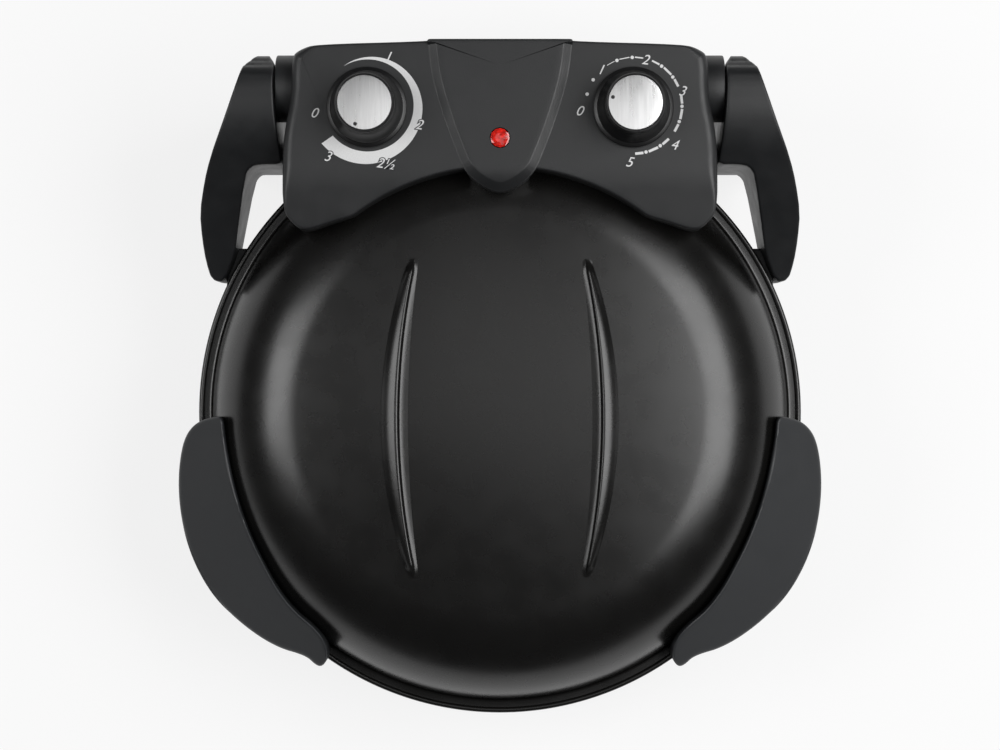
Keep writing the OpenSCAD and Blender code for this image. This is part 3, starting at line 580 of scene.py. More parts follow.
def lid_profile():
    """The lid's section: over the crown, down to the rolled edge and back under the sheet."""
    crown_r, crown_z, shoulder = lid_curves()
    r, slope = sizes().lid_shoulder_r, math.degrees(CROWN_SLOPE)
    flange_z = PARTING_Z + RIM_GAP / 2 + FLANGE_SET
    bead = (RIM_R - BEAD_R, PARTING_Z + RIM_GAP / 2 + BEAD_R)
    foot_a = math.degrees(math.asin((flange_z + 3 * SHEET_T - shoulder.y) / r))
    under_a = math.degrees(math.asin((flange_z - shoulder.y) / (r - SHEET_T)))
    points = arc((0, crown_z), crown_r, 90, 90 - slope, 24)
    points += arc(shoulder, r, 90 - slope, foot_a, 44)[1:]
    foot, flange_top = points[-1], flange_z + SHEET_T
    points += eased(
        foot, (foot[0] + FOOT_CORNER, flange_top), (foot[0] + FOOT_END, flange_top))[1:]
    points += arc(bead, BEAD_R, *BEAD_ARC, 28)
    points += arc(shoulder, r - SHEET_T, under_a, 90 - slope, 40)
    points += arc((0, crown_z), crown_r - SHEET_T, 90 - slope, 90, 16)[1:]
    return points


def pan_profile():
    """The pan's section: inside from the bottom to the rolled edge, and back round the outside."""
    centre = (wall_r() - PAN_SHOULDER_R, PAN_BOTTOM_Z + PAN_SHOULDER_R)
    edge_z = PARTING_Z - RIM_GAP / 2
    flange_z = edge_z - FLANGE_SET
    bead = (RIM_R - BEAD_R, edge_z - BEAD_R)
    inner_r = PAN_SHOULDER_R - SHEET_T
    inner_a = math.degrees(math.asin((flange_z - centre[1]) / inner_r))
    outer_a = math.degrees(math.asin((flange_z - 2 * SHEET_T - centre[1]) / PAN_SHOULDER_R))
    points = [(0, PAN_BOTTOM_Z + SHEET_T), (PAN_FLAT_R, PAN_BOTTOM_Z + SHEET_T)]
    points += arc(centre, inner_r, -90, inner_a, 32)
    points += arc(bead, BEAD_R, -BEAD_ARC[1], -BEAD_ARC[0], 28)
    outer = arc(centre, PAN_SHOULDER_R, outer_a, -90, 36)
    x, under = outer[0][0], flange_z - SHEET_T
    points += eased((x + FOOT_END, under), (x, under), outer[0])
    return points + outer[1:] + [(PAN_FLAT_R, PAN_BOTTOM_Z), (0, PAN_BOTTOM_Z)]


# Node trees

def new_tree(name, inputs):
    """A geometry tree with named inputs; gives the tree, its inputs and the socket of its result."""
    tree = bpy.data.node_groups.new(name, "GeometryNodeTree")
    tree.interface.new_socket(name="Geometry", in_out="INPUT", socket_type="NodeSocketGeometry")
    for label, kind, default in inputs:
        socket = tree.interface.new_socket(name=label, in_out="INPUT", socket_type=kind)
        if default is not None:
            socket.default_value = default
    tree.interface.new_socket(name="Geometry", in_out="OUTPUT", socket_type="NodeSocketGeometry")
    start = tree.nodes.new("NodeGroupInput")
    end = tree.nodes.new("NodeGroupOutput")
    return tree, start.outputs, end.inputs["Geometry"]


def maths(tree, operation, *values):
    """A Math node on sockets or numbers."""
    return add(tree, "ShaderNodeMath", dict(enumerate(values)), operation=operation).outputs[0]


def close_tree(tree, geometry, material_input, end):
    """Realize Instances and Set Material at the end of every tree."""
    realize = add(tree, "GeometryNodeRealizeInstances", {0: geometry})
    paint = add(tree, "GeometryNodeSetMaterial", {
        "Geometry": realize.outputs[0], "Material": material_input})
    tree.links.new(paint.outputs["Geometry"], end)


def merged(tree, geometry):
    return add(tree, "GeometryNodeMergeByDistance", {
        "Geometry": geometry, "Distance": MERGE}).outputs[0]


def moved(tree, geometry, position):
    return add(tree, "GeometryNodeSetPosition", {
        "Geometry": geometry, "Position": position}).outputs[0]


def revolve_tree():
    """Turns a section, drawn as points in the XZ plane, about the Z axis into a closed form."""
    tree, given, end = new_tree("turned_section", [
        ("Section points", "NodeSocketInt", 2), ("Segments", "NodeSocketInt", 192),
        ("Material", "NodeSocketMaterial", None)])
    count = given["Section points"]
    grid = add(tree, "GeometryNodeMeshGrid", {
        "Vertices X": maths(tree, "ADD", given["Segments"], 1), "Vertices Y": count})
    index = add(tree, "GeometryNodeInputIndex").outputs[0]
    turn = maths(tree, "FLOOR", maths(tree, "DIVIDE", maths(tree, "ADD", index, 0.5), count))
    angle = maths(tree, "MULTIPLY", maths(tree, "DIVIDE", turn, given["Segments"]), 2 * math.pi)
    sample = add(tree, "GeometryNodeSampleIndex", data_type="FLOAT_VECTOR")
    feed(tree, sample, {
        "Geometry": given["Geometry"], "Value": add(tree, "GeometryNodeInputPosition").outputs[0],
        "Index": maths(tree, "MODULO", index, count)})
    rotate = add(tree, "ShaderNodeVectorRotate", rotation_type="Z_AXIS")
    feed(tree, rotate, {"Vector": sample.outputs[0], "Angle": angle})
    placed = moved(tree, grid.outputs["Mesh"], rotate.outputs[0])
    close_tree(tree, merged(tree, placed), given["Material"], end)
    return tree


def copies_tree():
    """Sets a copy of an object on every point, turned and sized by the point's attributes."""
    tree, given, end = new_tree("set_out_copies", [
        ("Copied object", "NodeSocketObject", None), ("Material", "NodeSocketMaterial", None)])
    source = add(tree, "GeometryNodeObjectInfo", {"Object": given["Copied object"]})
    attributes = []
    for label in ("turn", "size"):
        node = add(tree, "GeometryNodeInputNamedAttribute", data_type="FLOAT_VECTOR")
        attributes.append(feed(tree, node, {"Name": label}).outputs["Attribute"])
    rotation = add(tree, "FunctionNodeEulerToRotation", {"Euler": attributes[0]})
    setter = add(tree, "GeometryNodeInstanceOnPoints", {
        "Points": given["Geometry"], "Instance": source.outputs["Geometry"],
        "Rotation": rotation.outputs[0], "Scale": attributes[1]})
    close_tree(tree, setter.outputs[0], given["Material"], end)
    return tree


RIB_ROWS, RIB_COLUMNS = 161, 45
RIB_FADE = 11
RIB_SINK = 0.00002
RIB_T = 0.0005


def rib_tree():
    """A crescent rib on the crown: steep inside, long outside, and fading at both ends."""
    tree, given, end = new_tree("crescent_rib", [
        ("Half length", "NodeSocketFloat", 0.088), ("Inner edge", "NodeSocketFloat", 0.05),
        ("Inner sag", "NodeSocketFloat", 0.006), ("Outer edge", "NodeSocketFloat", 0.065),
        ("Outer sag", "NodeSocketFloat", 0.015),
        ("Height", "NodeSocketFloat", 0.0032), ("Middle", "NodeSocketFloat", 0.0),
        ("Crown radius", "NodeSocketFloat", 1.07), ("Crown centre", "NodeSocketFloat", -0.9),
        ("Side", "NodeSocketFloat", 1.0), ("Material", "NodeSocketMaterial", None)])

    def calc(operation, *values):
        return maths(tree, operation, *values)

    def section(value):
        """The rib's cross-section: a shallow foot, a steep face, the crest and a long fall."""
        node = add(tree, "ShaderNodeFloatCurve", {"Value": value})
        curve = node.mapping.curves[0]
        curve.points[0].location, curve.points[1].location = (0, 0), (1, 0)
        for place in RIB_SECTION:
            curve.points.new(*place)
        node.mapping.update()
        return node.outputs["Value"]

    grid = add(tree, "GeometryNodeMeshGrid", {
        "Size X": 2, "Size Y": 1, "Vertices X": RIB_ROWS, "Vertices Y": RIB_COLUMNS})
    start = add(tree, "GeometryNodeInputPosition").outputs[0]
    position = add(tree, "ShaderNodeSeparateXYZ", {0: start})
    u, v = position.outputs["X"], calc("ADD", position.outputs["Y"], 0.5)
    square = calc("MULTIPLY", u, u)
    inner, outer = (
        calc("SUBTRACT", given[edge + " edge"], calc("MULTIPLY", given[edge + " sag"], square))
        for edge in ("Inner", "Outer"))
    across = calc("MULTIPLY_ADD", v, calc("SUBTRACT", outer, inner), inner)
    along = calc("MULTIPLY_ADD", u, given["Half length"], given["Middle"])
    near_end = calc("MULTIPLY", calc("SUBTRACT", 1, calc("ABSOLUTE", u)), RIB_FADE)
    fade = add(tree, "ShaderNodeMapRange", interpolation_type="SMOOTHSTEP")
    fade = feed(tree, fade, {"Value": near_end}).outputs["Result"]
    reach = calc("ADD", calc("MULTIPLY", across, across), calc("MULTIPLY", along, along))
    bow = calc("SQRT", calc("SUBTRACT", calc("POWER", given["Crown radius"], 2), reach))
    crown = calc("SUBTRACT", calc("ADD", given["Crown centre"], bow), RIB_SINK)
    swell = calc("MULTIPLY", calc("MULTIPLY", section(v), fade), given["Height"])
    point = add(tree, "ShaderNodeCombineXYZ", {
        "X": calc("MULTIPLY", across, given["Side"]), "Y": along, "Z": calc("ADD", crown, swell)})
    placed = moved(tree, grid.outputs["Mesh"], point.outputs[0])
    thick = add(tree, "GeometryNodeExtrudeMesh", {
        "Mesh": placed, "Individual": False, "Offset": (0, 0, -1), "Offset Scale": RIB_T})
    join = add(tree, "GeometryNodeJoinGeometry", {0: thick.outputs["Mesh"]})
    tree.links.new(placed, join.inputs[0])
    close_tree(tree, merged(tree, join.outputs[0]), given["Material"], end)
    return tree


TREES = {}


def run_tree(key, source, values):
    """Runs a tree on an object and gives the result as a bmesh; the object is removed."""
    if key not in TREES:
        TREES[key] = {"turned": revolve_tree, "copies": copies_tree, "rib": rib_tree}[key]()
    tree = TREES[key]
    modifier = source.modifiers.new(key, "NODES")
    modifier.node_group = tree
    for socket in tree.interface.items_tree:
        if socket.item_type == "SOCKET" and socket.in_out == "INPUT" and socket.name in values:
            modifier[socket.identifier] = values[socket.name]
    mesh = evaluated_mesh(source)
    bm = bmesh.new()
    bm.from_mesh(mesh)
    source.modifiers.clear()
    bpy.data.objects.remove(source)
    bpy.data.meshes.remove(mesh)
    return bm


def point_object(name, points):
    mesh = bpy.data.meshes.new(name)
    mesh.from_pydata([tuple(p) for p in points], [(i, i + 1) for i in range(len(points) - 1)], [])
    return linked(name, mesh)


def turned(section, slot, segments=192, place=(0, 0, 0)):
    """A closed form turned from a section of (radius, height) points, moved to its place."""
    source = point_object("section", [(r, 0, z) for r, z in section])
    bm = run_tree("turned", source, {
        "Section points": len(section), "Segments": segments, "Material": material(slot)})
    bmesh.ops.translate(bm, verts=bm.verts, vec=place)
    return bm


def finish_turned(name, section, slot, segments, body, replaces=(), place=(0, 0, 0)):
    """Turns a section and finishes it as a piece."""
    finish_piece(name, turned(section, slot, segments, place), slot, body, replaces)


def set_out(original, spots, slot):
    """Copies of a bmesh on spots of (point, turn, size)."""
    mesh = mesh_of("original", original)
    copied = linked("original", mesh)
    source = point_object("spots", [s[0] for s in spots])
    for label, k in (("turn", 1), ("size", 2)):
        attribute = source.data.attributes.new(label, "FLOAT_VECTOR", "POINT")
        attribute.data.foreach_set("vector", [x for s in spots for x in s[k]])
    bm = run_tree("copies", source, {"Copied object": copied, "Material": material(slot)})
    bpy.data.objects.remove(copied)
    bpy.data.meshes.remove(mesh)
    return bm


# Lid and pan

RIB_SECTION = [
    (0.03, 0.02), (0.25, 0.24), (0.34, 0.42), (0.42, 0.93), (0.47, 1.0), (0.55, 0.93), (0.96, 0.1)]
RIB_MIDDLE_Y = -0.0028
RIB_INNER_X = 0.0506
RIB_OUTER_X = 0.0653
RIB_INNER_SAG = 0.0058
RIB_OUTER_SAG = 0.0152


def build_lid():
    finish_turned("lid_dome", lid_profile(), "lid_paint", 256, "lid", ["lid_shell"])
    crown_r, crown_z, _ = lid_curves()
    for side, name in ((-1, "left_lid_rib"), (1, "right_lid_rib")):
        bm = run_tree("rib", point_object("rib", [(0, 0, 0)]), {
            "Half length": sizes().rib_l / 2, "Inner edge": RIB_INNER_X, "Inner sag": RIB_INNER_SAG,
            "Outer edge": RIB_OUTER_X, "Outer sag": RIB_OUTER_SAG, "Height": sizes().rib_h,
            "Middle": RIB_MIDDLE_Y, "Crown radius": crown_r, "Crown centre": crown_z,
            "Side": float(side), "Material": material("lid_paint")})
        finish_piece(name, bm, "lid_paint", "lid")


def build_pan():
    finish_turned("pan_shell", pan_profile(), "black_paint", 224, "base", ["base_pan"])


# Control housing

HOUSING_W = 0.1194
REAR_Y = 0.2046
FRONT_R = 0.1352
BARREL_R = 0.033
STUB_R = 0.0186
STUB_END = 0.1244
FALL_START_Y = 0.14
FALL_END_Y = 0.122
FALL_SLOPE = 0.25
HOUSING_HALF = [
    (0, REAR_Y), (0.036, REAR_Y), (0.042, REAR_Y - 0.001), (0.101, REAR_Y - 0.0026),
    (0.110, REAR_Y - 0.005), (0.1144, REAR_Y - 0.009), (0.1144, 0.174), (0.1186, 0.154),
    (HOUSING_W, 0.138), (HOUSING_W, 0.111), (0.1134, 0.1038), (0.110, 0.1014), (0.1045, 0.101),
    (0.0927, 0.105)]
HOUSING_SPINE = ((-0.095, 0.162), (0.095, 0.162))
FRONT_ARC_X = 0.081
FRONT_ARC_STEPS = 24
BELLY_RISE = 0.0065
BELLY_START = 0.008
TIGHT_ROUND = 0.0013
SIDE_ROUND = 0.0042
# Where the wide round of the sides starts, and over what length it grows
SIDE_X, SIDE_X_L = 0.1, 0.012
SIDE_Y, SIDE_Y_L = 0.108, 0.03
STUB_START = 0.112
STUB_ROUND = 0.0008
LAMP_DRILL_DEPTH, LAMP_DRILL_L = 0.008, 0.02
INLET_SEAT_DEPTH, INLET_SEAT_L, INLET_SEAT_GAP = 0.0016, 0.01, 0.0002
INLET_DEPTH, INLET_L, INLET_STEP = 0.02, 0.03, 0.002
SHIELD_HALF = [
    (0, REAR_Y), (0.0375, REAR_Y), (0.0391, REAR_Y - 0.0001), (0.0398, REAR_Y - 0.0008),
    (0.0397, REAR_Y - 0.0024),
    (0.0378, 0.1845), (0.0309, 0.161), (0.0239, 0.1425), (0.0192, 0.132), (0.01, 0.1244), (0, 0.1205)]
SHIELD_SPINE = ((0, 0.145), (0, 0.19))
SHIELD_DEPTH = 0.006
SHIELD_OVER_Y = 0.13
SHIELD_BAND = 0.0054
# The band's rows: inset from its outer or inner edge, and share of the shield's height
BAND_WALL = 0.0003
BAND_OUTER = [(0.0002, 1.0), (0.0005, 0.985), (0.0009, 0.93)]
BAND_INNER = [(0.0009, 0.08), (0.0004, 0.015), (0.0, 0.0)]
BAND_BLEND_Y, BAND_BLEND_L = 0.003, 0.0014
SHIELD_ROLL_Y = 0.136
SHIELD_ROLL_L = 0.012
SHIELD_SLOPE = 0.55


def panel_height(x, y):
    """The panel is level at the back and rolls down towards the front."""
    if y > FALL_START_Y:
        return PANEL_Z
    span = FALL_START_Y - FALL_END_Y
    t = min(FALL_START_Y - y, span)
    rolled = FALL_SLOPE * t * t / (2 * span)
    return PANEL_Z - rolled - FALL_SLOPE * max(0.0, FALL_END_Y - y)


def housing_underside(x, y):
    """The lid under the housing, or the round belly about the hinge."""
    belly = PARTING_Z + BELLY_RISE
    if y > HINGE.y - BELLY_START:
        belly = HINGE.z - math.sqrt(max(1e-9, BARREL_R ** 2 - (y - HINGE.y) ** 2))
    return max(lid_height(x, y) + LID_GAP, belly)


def housing_outline():
    front = []
    start = math.acos(FRONT_ARC_X / FRONT_R)
    for k in range(FRONT_ARC_STEPS + 1):
        a = start + (math.pi / 2 - start) * k / FRONT_ARC_STEPS
        front.append((FRONT_R * math.cos(a), FRONT_R * math.sin(a)))
    return spaced(softened(mirrored(HOUSING_HALF + front), 2), 0.0016)


def housing_edge(p):
    """A wide round along the sides, and a tight one along the back and the front."""
    side = smooth((abs(p[0]) - SIDE_X) / SIDE_X_L) * smooth((p[1] - SIDE_Y) / SIDE_Y_L)
    return fillet(TIGHT_ROUND + SIDE_ROUND * side, 7)


def shield_height(x, y):
    """Level with a roll towards the tongue's tip."""
    reach = max(0.0, SHIELD_ROLL_Y - y)
    roll = min(reach, SHIELD_ROLL_L)
    fall = roll * roll / (2 * SHIELD_ROLL_L) + reach - roll
    return PANEL_Z + sizes().shield_h - SHIELD_SLOPE * fall


def build_housing():
    bm = bmesh.new()
    pillow(bm, housing_outline(), HOUSING_SPINE, panel_height, housing_underside, housing_edge,
           rows=22, walls=8)
    for side in (-1, 1):
        round_bar(bm, (side * STUB_START, HINGE.y, HINGE.z), (side, 0, 0), STUB_R,
                  STUB_END - STUB_START, STUB_ROUND)
    lamp_hole = drill((LAMP.x, LAMP.y, PANEL_Z - LAMP_DRILL_DEPTH), (0, 0, 1), LAMP_HOLE_R,
                      LAMP_DRILL_L)
    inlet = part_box("cord_inlet_bush")
    inlet_z, inlet_r = (inlet[0].z + inlet[1].z) / 2, (inlet[1].z - inlet[0].z) / 2
    seat = drill((0, REAR_Y - INLET_SEAT_DEPTH, inlet_z), (0, 1, 0), inlet_r + INLET_SEAT_GAP,
                 INLET_SEAT_L)
    passage = drill((0, REAR_Y - INLET_DEPTH, inlet_z), (0, 1, 0), inlet_r - INLET_STEP, INLET_L)
    for tool in (lamp_hole.copy(), seat, passage):
        bm = cut(bm, tool)
    finish_piece("housing_shell", bm, "housing_plastic", "lid", ["control_housing", "housing_cover"])

    def underside(x, y):
        below = PANEL_Z - SHIELD_DEPTH if y > SHIELD_OVER_Y else NO_FLOOR
        return max(below, lid_height(x, y) + LID_GAP)

    def band(p):
        """The sloping band round the shield, which turns into the tight round of the rear edge."""
        level = sizes().shield_h
        slope = [(0.0, level + BAND_WALL)]
        slope += [(inset, level * share) for inset, share in BAND_OUTER]
        slope += [(SHIELD_BAND - inset, level * share) for inset, share in BAND_INNER]
        rear = fillet(TIGHT_ROUND, 6)
        t = smooth((p[1] - (REAR_Y - BAND_BLEND_Y)) / BAND_BLEND_L)
        return [(a[0] + (b[0] - a[0]) * t, a[1] + (b[1] - a[1]) * t) for a, b in zip(slope, rear)]

    bm = bmesh.new()
    outline = spaced(softened(mirrored(SHIELD_HALF), 2), 0.0005)
    pillow(bm, outline, SHIELD_SPINE, shield_height, underside, band, rows=10, walls=4)
    finish_piece("housing_shield", cut(bm, lamp_hole), "housing_plastic", "lid")


# Handles

HANDLE_R = 0.156
HANDLE_EDGE = [
    (0.1596, -0.002), (0.1734, -0.0059), (0.1818, -0.0179), (0.1851, -0.0466), (0.1804, -0.0769),
    (0.1666, -0.1048), (0.1478, -0.1225), (0.1281, -0.1346), (0.1103, -0.1385), (0.105, -0.144),
    (0.101, -0.145), (0.0965, -0.138)]
HANDLE_RIDGE = [
    (0.1, -0.124), (0.121, -0.1075), (0.1374, -0.076), (0.1452, -0.0558), (0.1505, -0.0365),
    (0.1547, -0.0137), (0.1555, -0.003)]
HANDLE_SPINE = [(0.168, -0.03), (0.136, -0.108)]
HANDLE_ROUND = 0.0016
GRIP_GAP = 0.0008
LOWER_HANDLE = [
    (0.158, -0.005), (0.172, -0.0085), (0.18, -0.019), (0.1835, -0.0466), (0.1788, -0.076),
    (0.1653, -0.1036), (0.1468, -0.121), (0.1275, -0.1326), (0.112, -0.136)]
# Radius, first and last direction of the lower handle's inner edge, then its spine and its
# underside by distance from the oven's middle
LOWER_INNER_ARC = (0.1575, -50, -3)
LOWER_SPINE = [(0.1705, -0.03), (0.13, -0.112)]
LOWER_UNDERSIDE = [(0.165, 0.052), (0.192, 0.076), (0.197, 0.082)]
LOWER_TOP_ROUND, LOWER_FOOT_ROUND = 0.0012, 0.002
PAN_GAP = 0.0003


def handle_height(x, y):
    """Level near the ridge, then falling outwards."""
    s = sizes()
    r = math.hypot(x, y)
    return s.handle_ridge_z - s.handle_fall * max(0.0, r - HANDLE_R)


def handle_underside(x, y):
    return max(PARTING_Z + GRIP_GAP, lid_height(x, y) + LID_GAP)


def flipped(points, side):
    return [(side * x, y) for x, y in points]


def build_upper_handles():
    for side, name in ((-1, "left_grip"), (1, "right_grip")):
        bm = bmesh.new()
        outline = spaced(flipped(softened(HANDLE_EDGE + HANDLE_RIDGE, 3), side), 0.0014)
        pillow(bm, outline, flipped(HANDLE_SPINE, side), handle_height, handle_underside,
               lambda p: fillet(HANDLE_ROUND, 5), rows=14)
        finish_piece(name, bm, "handle_plastic", "lid", ["%s_upper_handle" % name.split("_")[0]])


def pan_arc(radius, start, stop, steps):
    """Points of a circle round the pan between two directions in degrees."""
    angles = [math.radians(start + (stop - start) * k / steps) for k in range(steps + 1)]
    return [(radius * math.cos(a), radius * math.sin(a)) for a in angles]


def joined(bm, other):
    """Adds another bmesh to the first; the other is used up."""
    mesh = mesh_of("joined", other)
    bm.from_mesh(mesh)
    bpy.data.meshes.remove(mesh)


LEG_DIRECTION = -42.5
LEG_INNER_R = 0.132
LEG_OUTER_R = 0.171
LEG_HALF_W = 0.017
LEG_SPINE_IN = 0.012
LEG_ROUND = 0.003
SOLE_Z = 0.006


def build_lower_handles():
    def under_pan(x, y):
        return min(PARTING_Z - GRIP_GAP, pan_height(x, y) - PAN_GAP)

    def underside(x, y):
        return between_points(math.hypot(x, y), LOWER_UNDERSIDE)

    a = math.radians(LEG_DIRECTION)
    out, across = Vector((math.cos(a), math.sin(a))), Vector((-math.sin(a), math.cos(a)))
    corners = [(LEG_INNER_R, -1), (LEG_OUTER_R, -1), (LEG_OUTER_R, 1), (LEG_INNER_R, 1)]
    leg_plan = [tuple(out * r + across * LEG_HALF_W * k) for r, k in corners]
    leg_spine = [tuple(out * r) for r in (LEG_INNER_R + LEG_SPINE_IN, LEG_OUTER_R - LEG_SPINE_IN)]
    for side, name in ((-1, "left_lower_grip"), (1, "right_lower_grip")):
        bm = bmesh.new()
        outline = spaced(flipped(pan_arc(*LOWER_INNER_ARC, 24) + LOWER_HANDLE, side), 0.002)
        pillow(bm, outline, flipped(LOWER_SPINE, side), under_pan, underside,
               lambda p: fillet(LOWER_TOP_ROUND, 3), lambda p: fillet(LOWER_FOOT_ROUND, 4), rows=8)
        leg = bmesh.new()
        outline = spaced(flipped(softened(leg_plan, 3), side), 0.002)
        pillow(leg, outline, flipped(leg_spine, side), under_pan, lambda x, y: SOLE_Z,
               lambda p: [(0.0, 0.0)], lambda p: fillet(LEG_ROUND, 4), rows=8)
        joined(bm, leg)
        finish_piece(name, bm, "handle_plastic", "base", ["%s_lower_handle" % name.split("_")[0]])


# Rear arms

ARM_PLAN = [
    (0.125, 0.199), (0.1396, 0.199), (0.1489, 0.1715), (0.1537, 0.159), (0.1615, 0.141),
    (0.1654, 0.1295), (0.1693, 0.1128), (0.1692, 0.0983), (0.1679, 0.0855), (0.1653, 0.0753),
    (0.1582, 0.0743), (0.1512, 0.0901), (0.1494, 0.0992), (0.1424, 0.1326), (0.139, 0.1372),
    (0.133, 0.1384), (0.1214, 0.1384), (0.122, 0.144), (0.125, 0.172)]
# Heights of the arm's top and underside by distance behind the oven's middle
ARM_TOP = [
    (0.072, 0.092), (0.1, 0.108), (0.129, 0.126), (0.152, 0.141), (0.168, 0.1465),
    (0.186, 0.1465), (0.1935, 0.143), (0.1974, 0.134), (0.1984, 0.122)]
ARM_BELOW = [
    (0.072, 0.066), (0.104, 0.07), (0.1383, 0.074), (0.13835, 0.063), (0.1435, 0.006),
    (0.186, 0.006), (0.19, 0.06), (0.197, 0.108)]
ARM_SPINE = [(0.137, 0.185), (0.158, 0.092)]
ARM_ROLL = 0.006
ARM_TOP_ROUND, ARM_FOOT_ROUND, WEB_ROUND = 0.0011, 0.001, 0.0008
# Plan, spine, and lowest and highest height of the two webs between an arm and the pan
SADDLE = (pan_arc(0.164, 35, 24, 8) + [(0.1575, 0.066), (0.1585, 0.094)],
          [(0.153, 0.074), (0.15, 0.086)], 0.066, 0.085)
REAR_WEB = (pan_arc(0.153, 70, 68.5, 2) + [(0.08, 0.156), (0.13, 0.156), (0.13, 0.142)],
            [(0.095, 0.15), (0.122, 0.15)], 0.044, 0.084)


def arm_top(x, y):
    """The side outline's top, eased over its corners."""
    spread_y = [-ARM_ROLL, -ARM_ROLL / 2, 0.0, ARM_ROLL / 2, ARM_ROLL]
    return sum(between_points(y + d, ARM_TOP) for d in spread_y) / len(spread_y)


def arm_web(plan, spine, low, high):
    """A web between an arm and the pan, cut to the pan's wall."""
    bm = bmesh.new()
    pillow(bm, spaced(plan, 0.002), spine, lambda x, y: min(high, pan_height(x, y) - PAN_GAP),
           lambda x, y: low, lambda p: fillet(WEB_ROUND, 2), lambda p: fillet(WEB_ROUND, 2), rows=6)
    return bm


def build_arms():
    for side, name in ((-1, "left"), (1, "right")):
        bm = bmesh.new()
        outline = spaced(flipped(softened(ARM_PLAN, 1), side), 0.0013)
        pillow(bm, outline, flipped(ARM_SPINE, side), arm_top,
               lambda x, y: between_points(y, ARM_BELOW), lambda p: fillet(ARM_TOP_ROUND, 4),
               lambda p: fillet(ARM_FOOT_ROUND, 2), rows=14, walls=14)
        for plan, spine, low, high in (SADDLE, REAR_WEB):
            joined(bm, arm_web(flipped(plan, side), flipped(spine, side), low, high))
        finish_piece("%s_rear_arm" % name, bm, "arm_plastic", "base", ["%s_arm" % name])


# Knobs, dials and the pilot lamp

CAP_R = 0.0148
CAP_DOME = 0.0005
CAP_LOW = -0.00125
CAP_ROUND = 0.0003
DOT_R = 0.0011
DOT_X = 0.0125
DOT_RISE = 0.00005
DOT_SECTION = [(0, 0.0), (DOT_R - 0.0001, 0.0), (DOT_R, -0.0001), (DOT_R, -0.0008), (0, -0.0008)]
NECK_R = 0.016
# The flare from the neck to the skirt: its radius, centre height and arc
FLARE_R, FLARE_Z, FLARE_ARC = 0.0205, 0.016, (180, 227)
SKIRT_STEP = 0.0019
GROOVE = [(0.0, 0.0184), (0.0005, 0.0182), (0.0005, 0.0177), (0.0, 0.0175)]
UNDER_R, UNDER_Z = 0.013, 0.007
DOT_DIRECTION = {"thermostat": 203, "timer": 282.8}


def knob_profile():
    """The knob's section: the cap's recess, the neck with its groove, the flare and the skirt."""
    h = KNOB_HIGH.z - KNOB_LOW.z
    r = sizes().knob_r
    flare = arc((NECK_R + FLARE_R, FLARE_Z), FLARE_R, *FLARE_ARC, 16)
    flare = [p for p in flare if p[0] < r - SKIRT_STEP]
    points = [(0, h - 0.0012), (CAP_R + 0.0002, h - 0.0012), (CAP_R + 0.0002, h - 0.0004)]
    points += [(CAP_R + 0.0005, h - 0.0002), (NECK_R - 0.0003, h - 0.0002), (NECK_R, h - 0.0006)]
    points += [(NECK_R - inset, z) for inset, z in GROOVE] + flare
    x, z = flare[-1]
    points += [(x + 0.0001, z - 0.0008), (x + 0.0004, z - 0.001), (r - 0.0005, z - 0.0014)]
    points += [(r, z - SKIRT_STEP), (r, 0.0004), (r - 0.0004, 0)]
    return points + [(UNDER_R, 0), (UNDER_R, UNDER_Z), (0, UNDER_Z)]


def cap_profile():
    """A slightly domed disc."""
    dome = [(CAP_R * k / 10, -CAP_DOME * (k / 10) ** 2) for k in range(10)]
    edge = -CAP_DOME
    return dome + [
        (CAP_R - CAP_ROUND, edge), (CAP_R, edge - CAP_ROUND), (CAP_R, CAP_LOW), (0, CAP_LOW)]


def build_knobs():
    for name, axis in (("thermostat", THERMOSTAT), ("timer", TIMER)):
        body = name + "_knob"
        place = (axis.x, axis.y, KNOB_LOW.z)
        finish_turned(name + "_grip", knob_profile(), "knob_plastic", 120, body, [body], place)
        top = (axis.x, axis.y, KNOB_HIGH.z)
        finish_turned(name + "_disc", cap_profile(), "cap_metal", 96, body, [name + "_cap"], top)
        a = math.radians(90 - DOT_DIRECTION[name])
        sink = CAP_DOME * (DOT_X / CAP_R) ** 2
        spot = (axis.x + DOT_X * math.cos(a), axis.y + DOT_X * math.sin(a),
                KNOB_HIGH.z - sink + DOT_RISE)
        finish_turned(name + "_pointer_dot", DOT_SECTION, "knob_plastic", 24, body, (), spot)


PRINT_T = 0.0001
DIAL_SHIFT = Vector((0.0004, 0.0011, 0))
DIAL_R = 0.0252
MARK_R = 0.0263
MINUTE_STEP = 55.8
ZERO_DIRECTION = -95
# The temperature scale: its end directions, its width by direction, and its slanted end
SCALE_START, SCALE_STOP, SCALE_STEPS = -30, 229, 110
SCALE_WIDTH = [(-30, 0.0001), (0, 0.0013), (90, 0.0048), (180, 0.0068), (229, 0.0074)]
SCALE_SLANT = 1.5
# Numeral size and lean, and how far the painted shadow is grown round a numeral
DIGIT_SIZE, DIGIT_LEAN, DIGIT_PAINTED_SHADOW_W = 0.0078, 0.3, 0.0005
DIGIT_TURN = math.radians(-8)
# Lift of the painted shadow and of the numerals over the panel
PAINTED_SHADOW_LIFT, DIGIT_LIFT = 0.00006, 0.00012
# Numeral, place from the knob's axis, and whether a painted shadow is grown round it
TEMPERATURES = [
    ("0", (-0.0289, -0.0031), 0), ("1", (0.0115, 0.0276), 0), ("2", (0.0285, -0.0096), 1),
    ("2½", (0.0104, -0.031), 1), ("3", (-0.0215, -0.0269), 1)]
MINUTES = [
    ("0", (-0.0295, -0.002), 0), ("1", (-0.0178, 0.0205), 1), ("2", (0.0066, 0.0259), 1),
    ("3", (0.0267, 0.0088), 1), ("4", (0.0224, -0.0206), 1), ("5", (-0.0022, -0.03), 1)]
DOTS_A_MINUTE = 3
LAST_MARK = 15
MARK_DOT_R = 0.00095
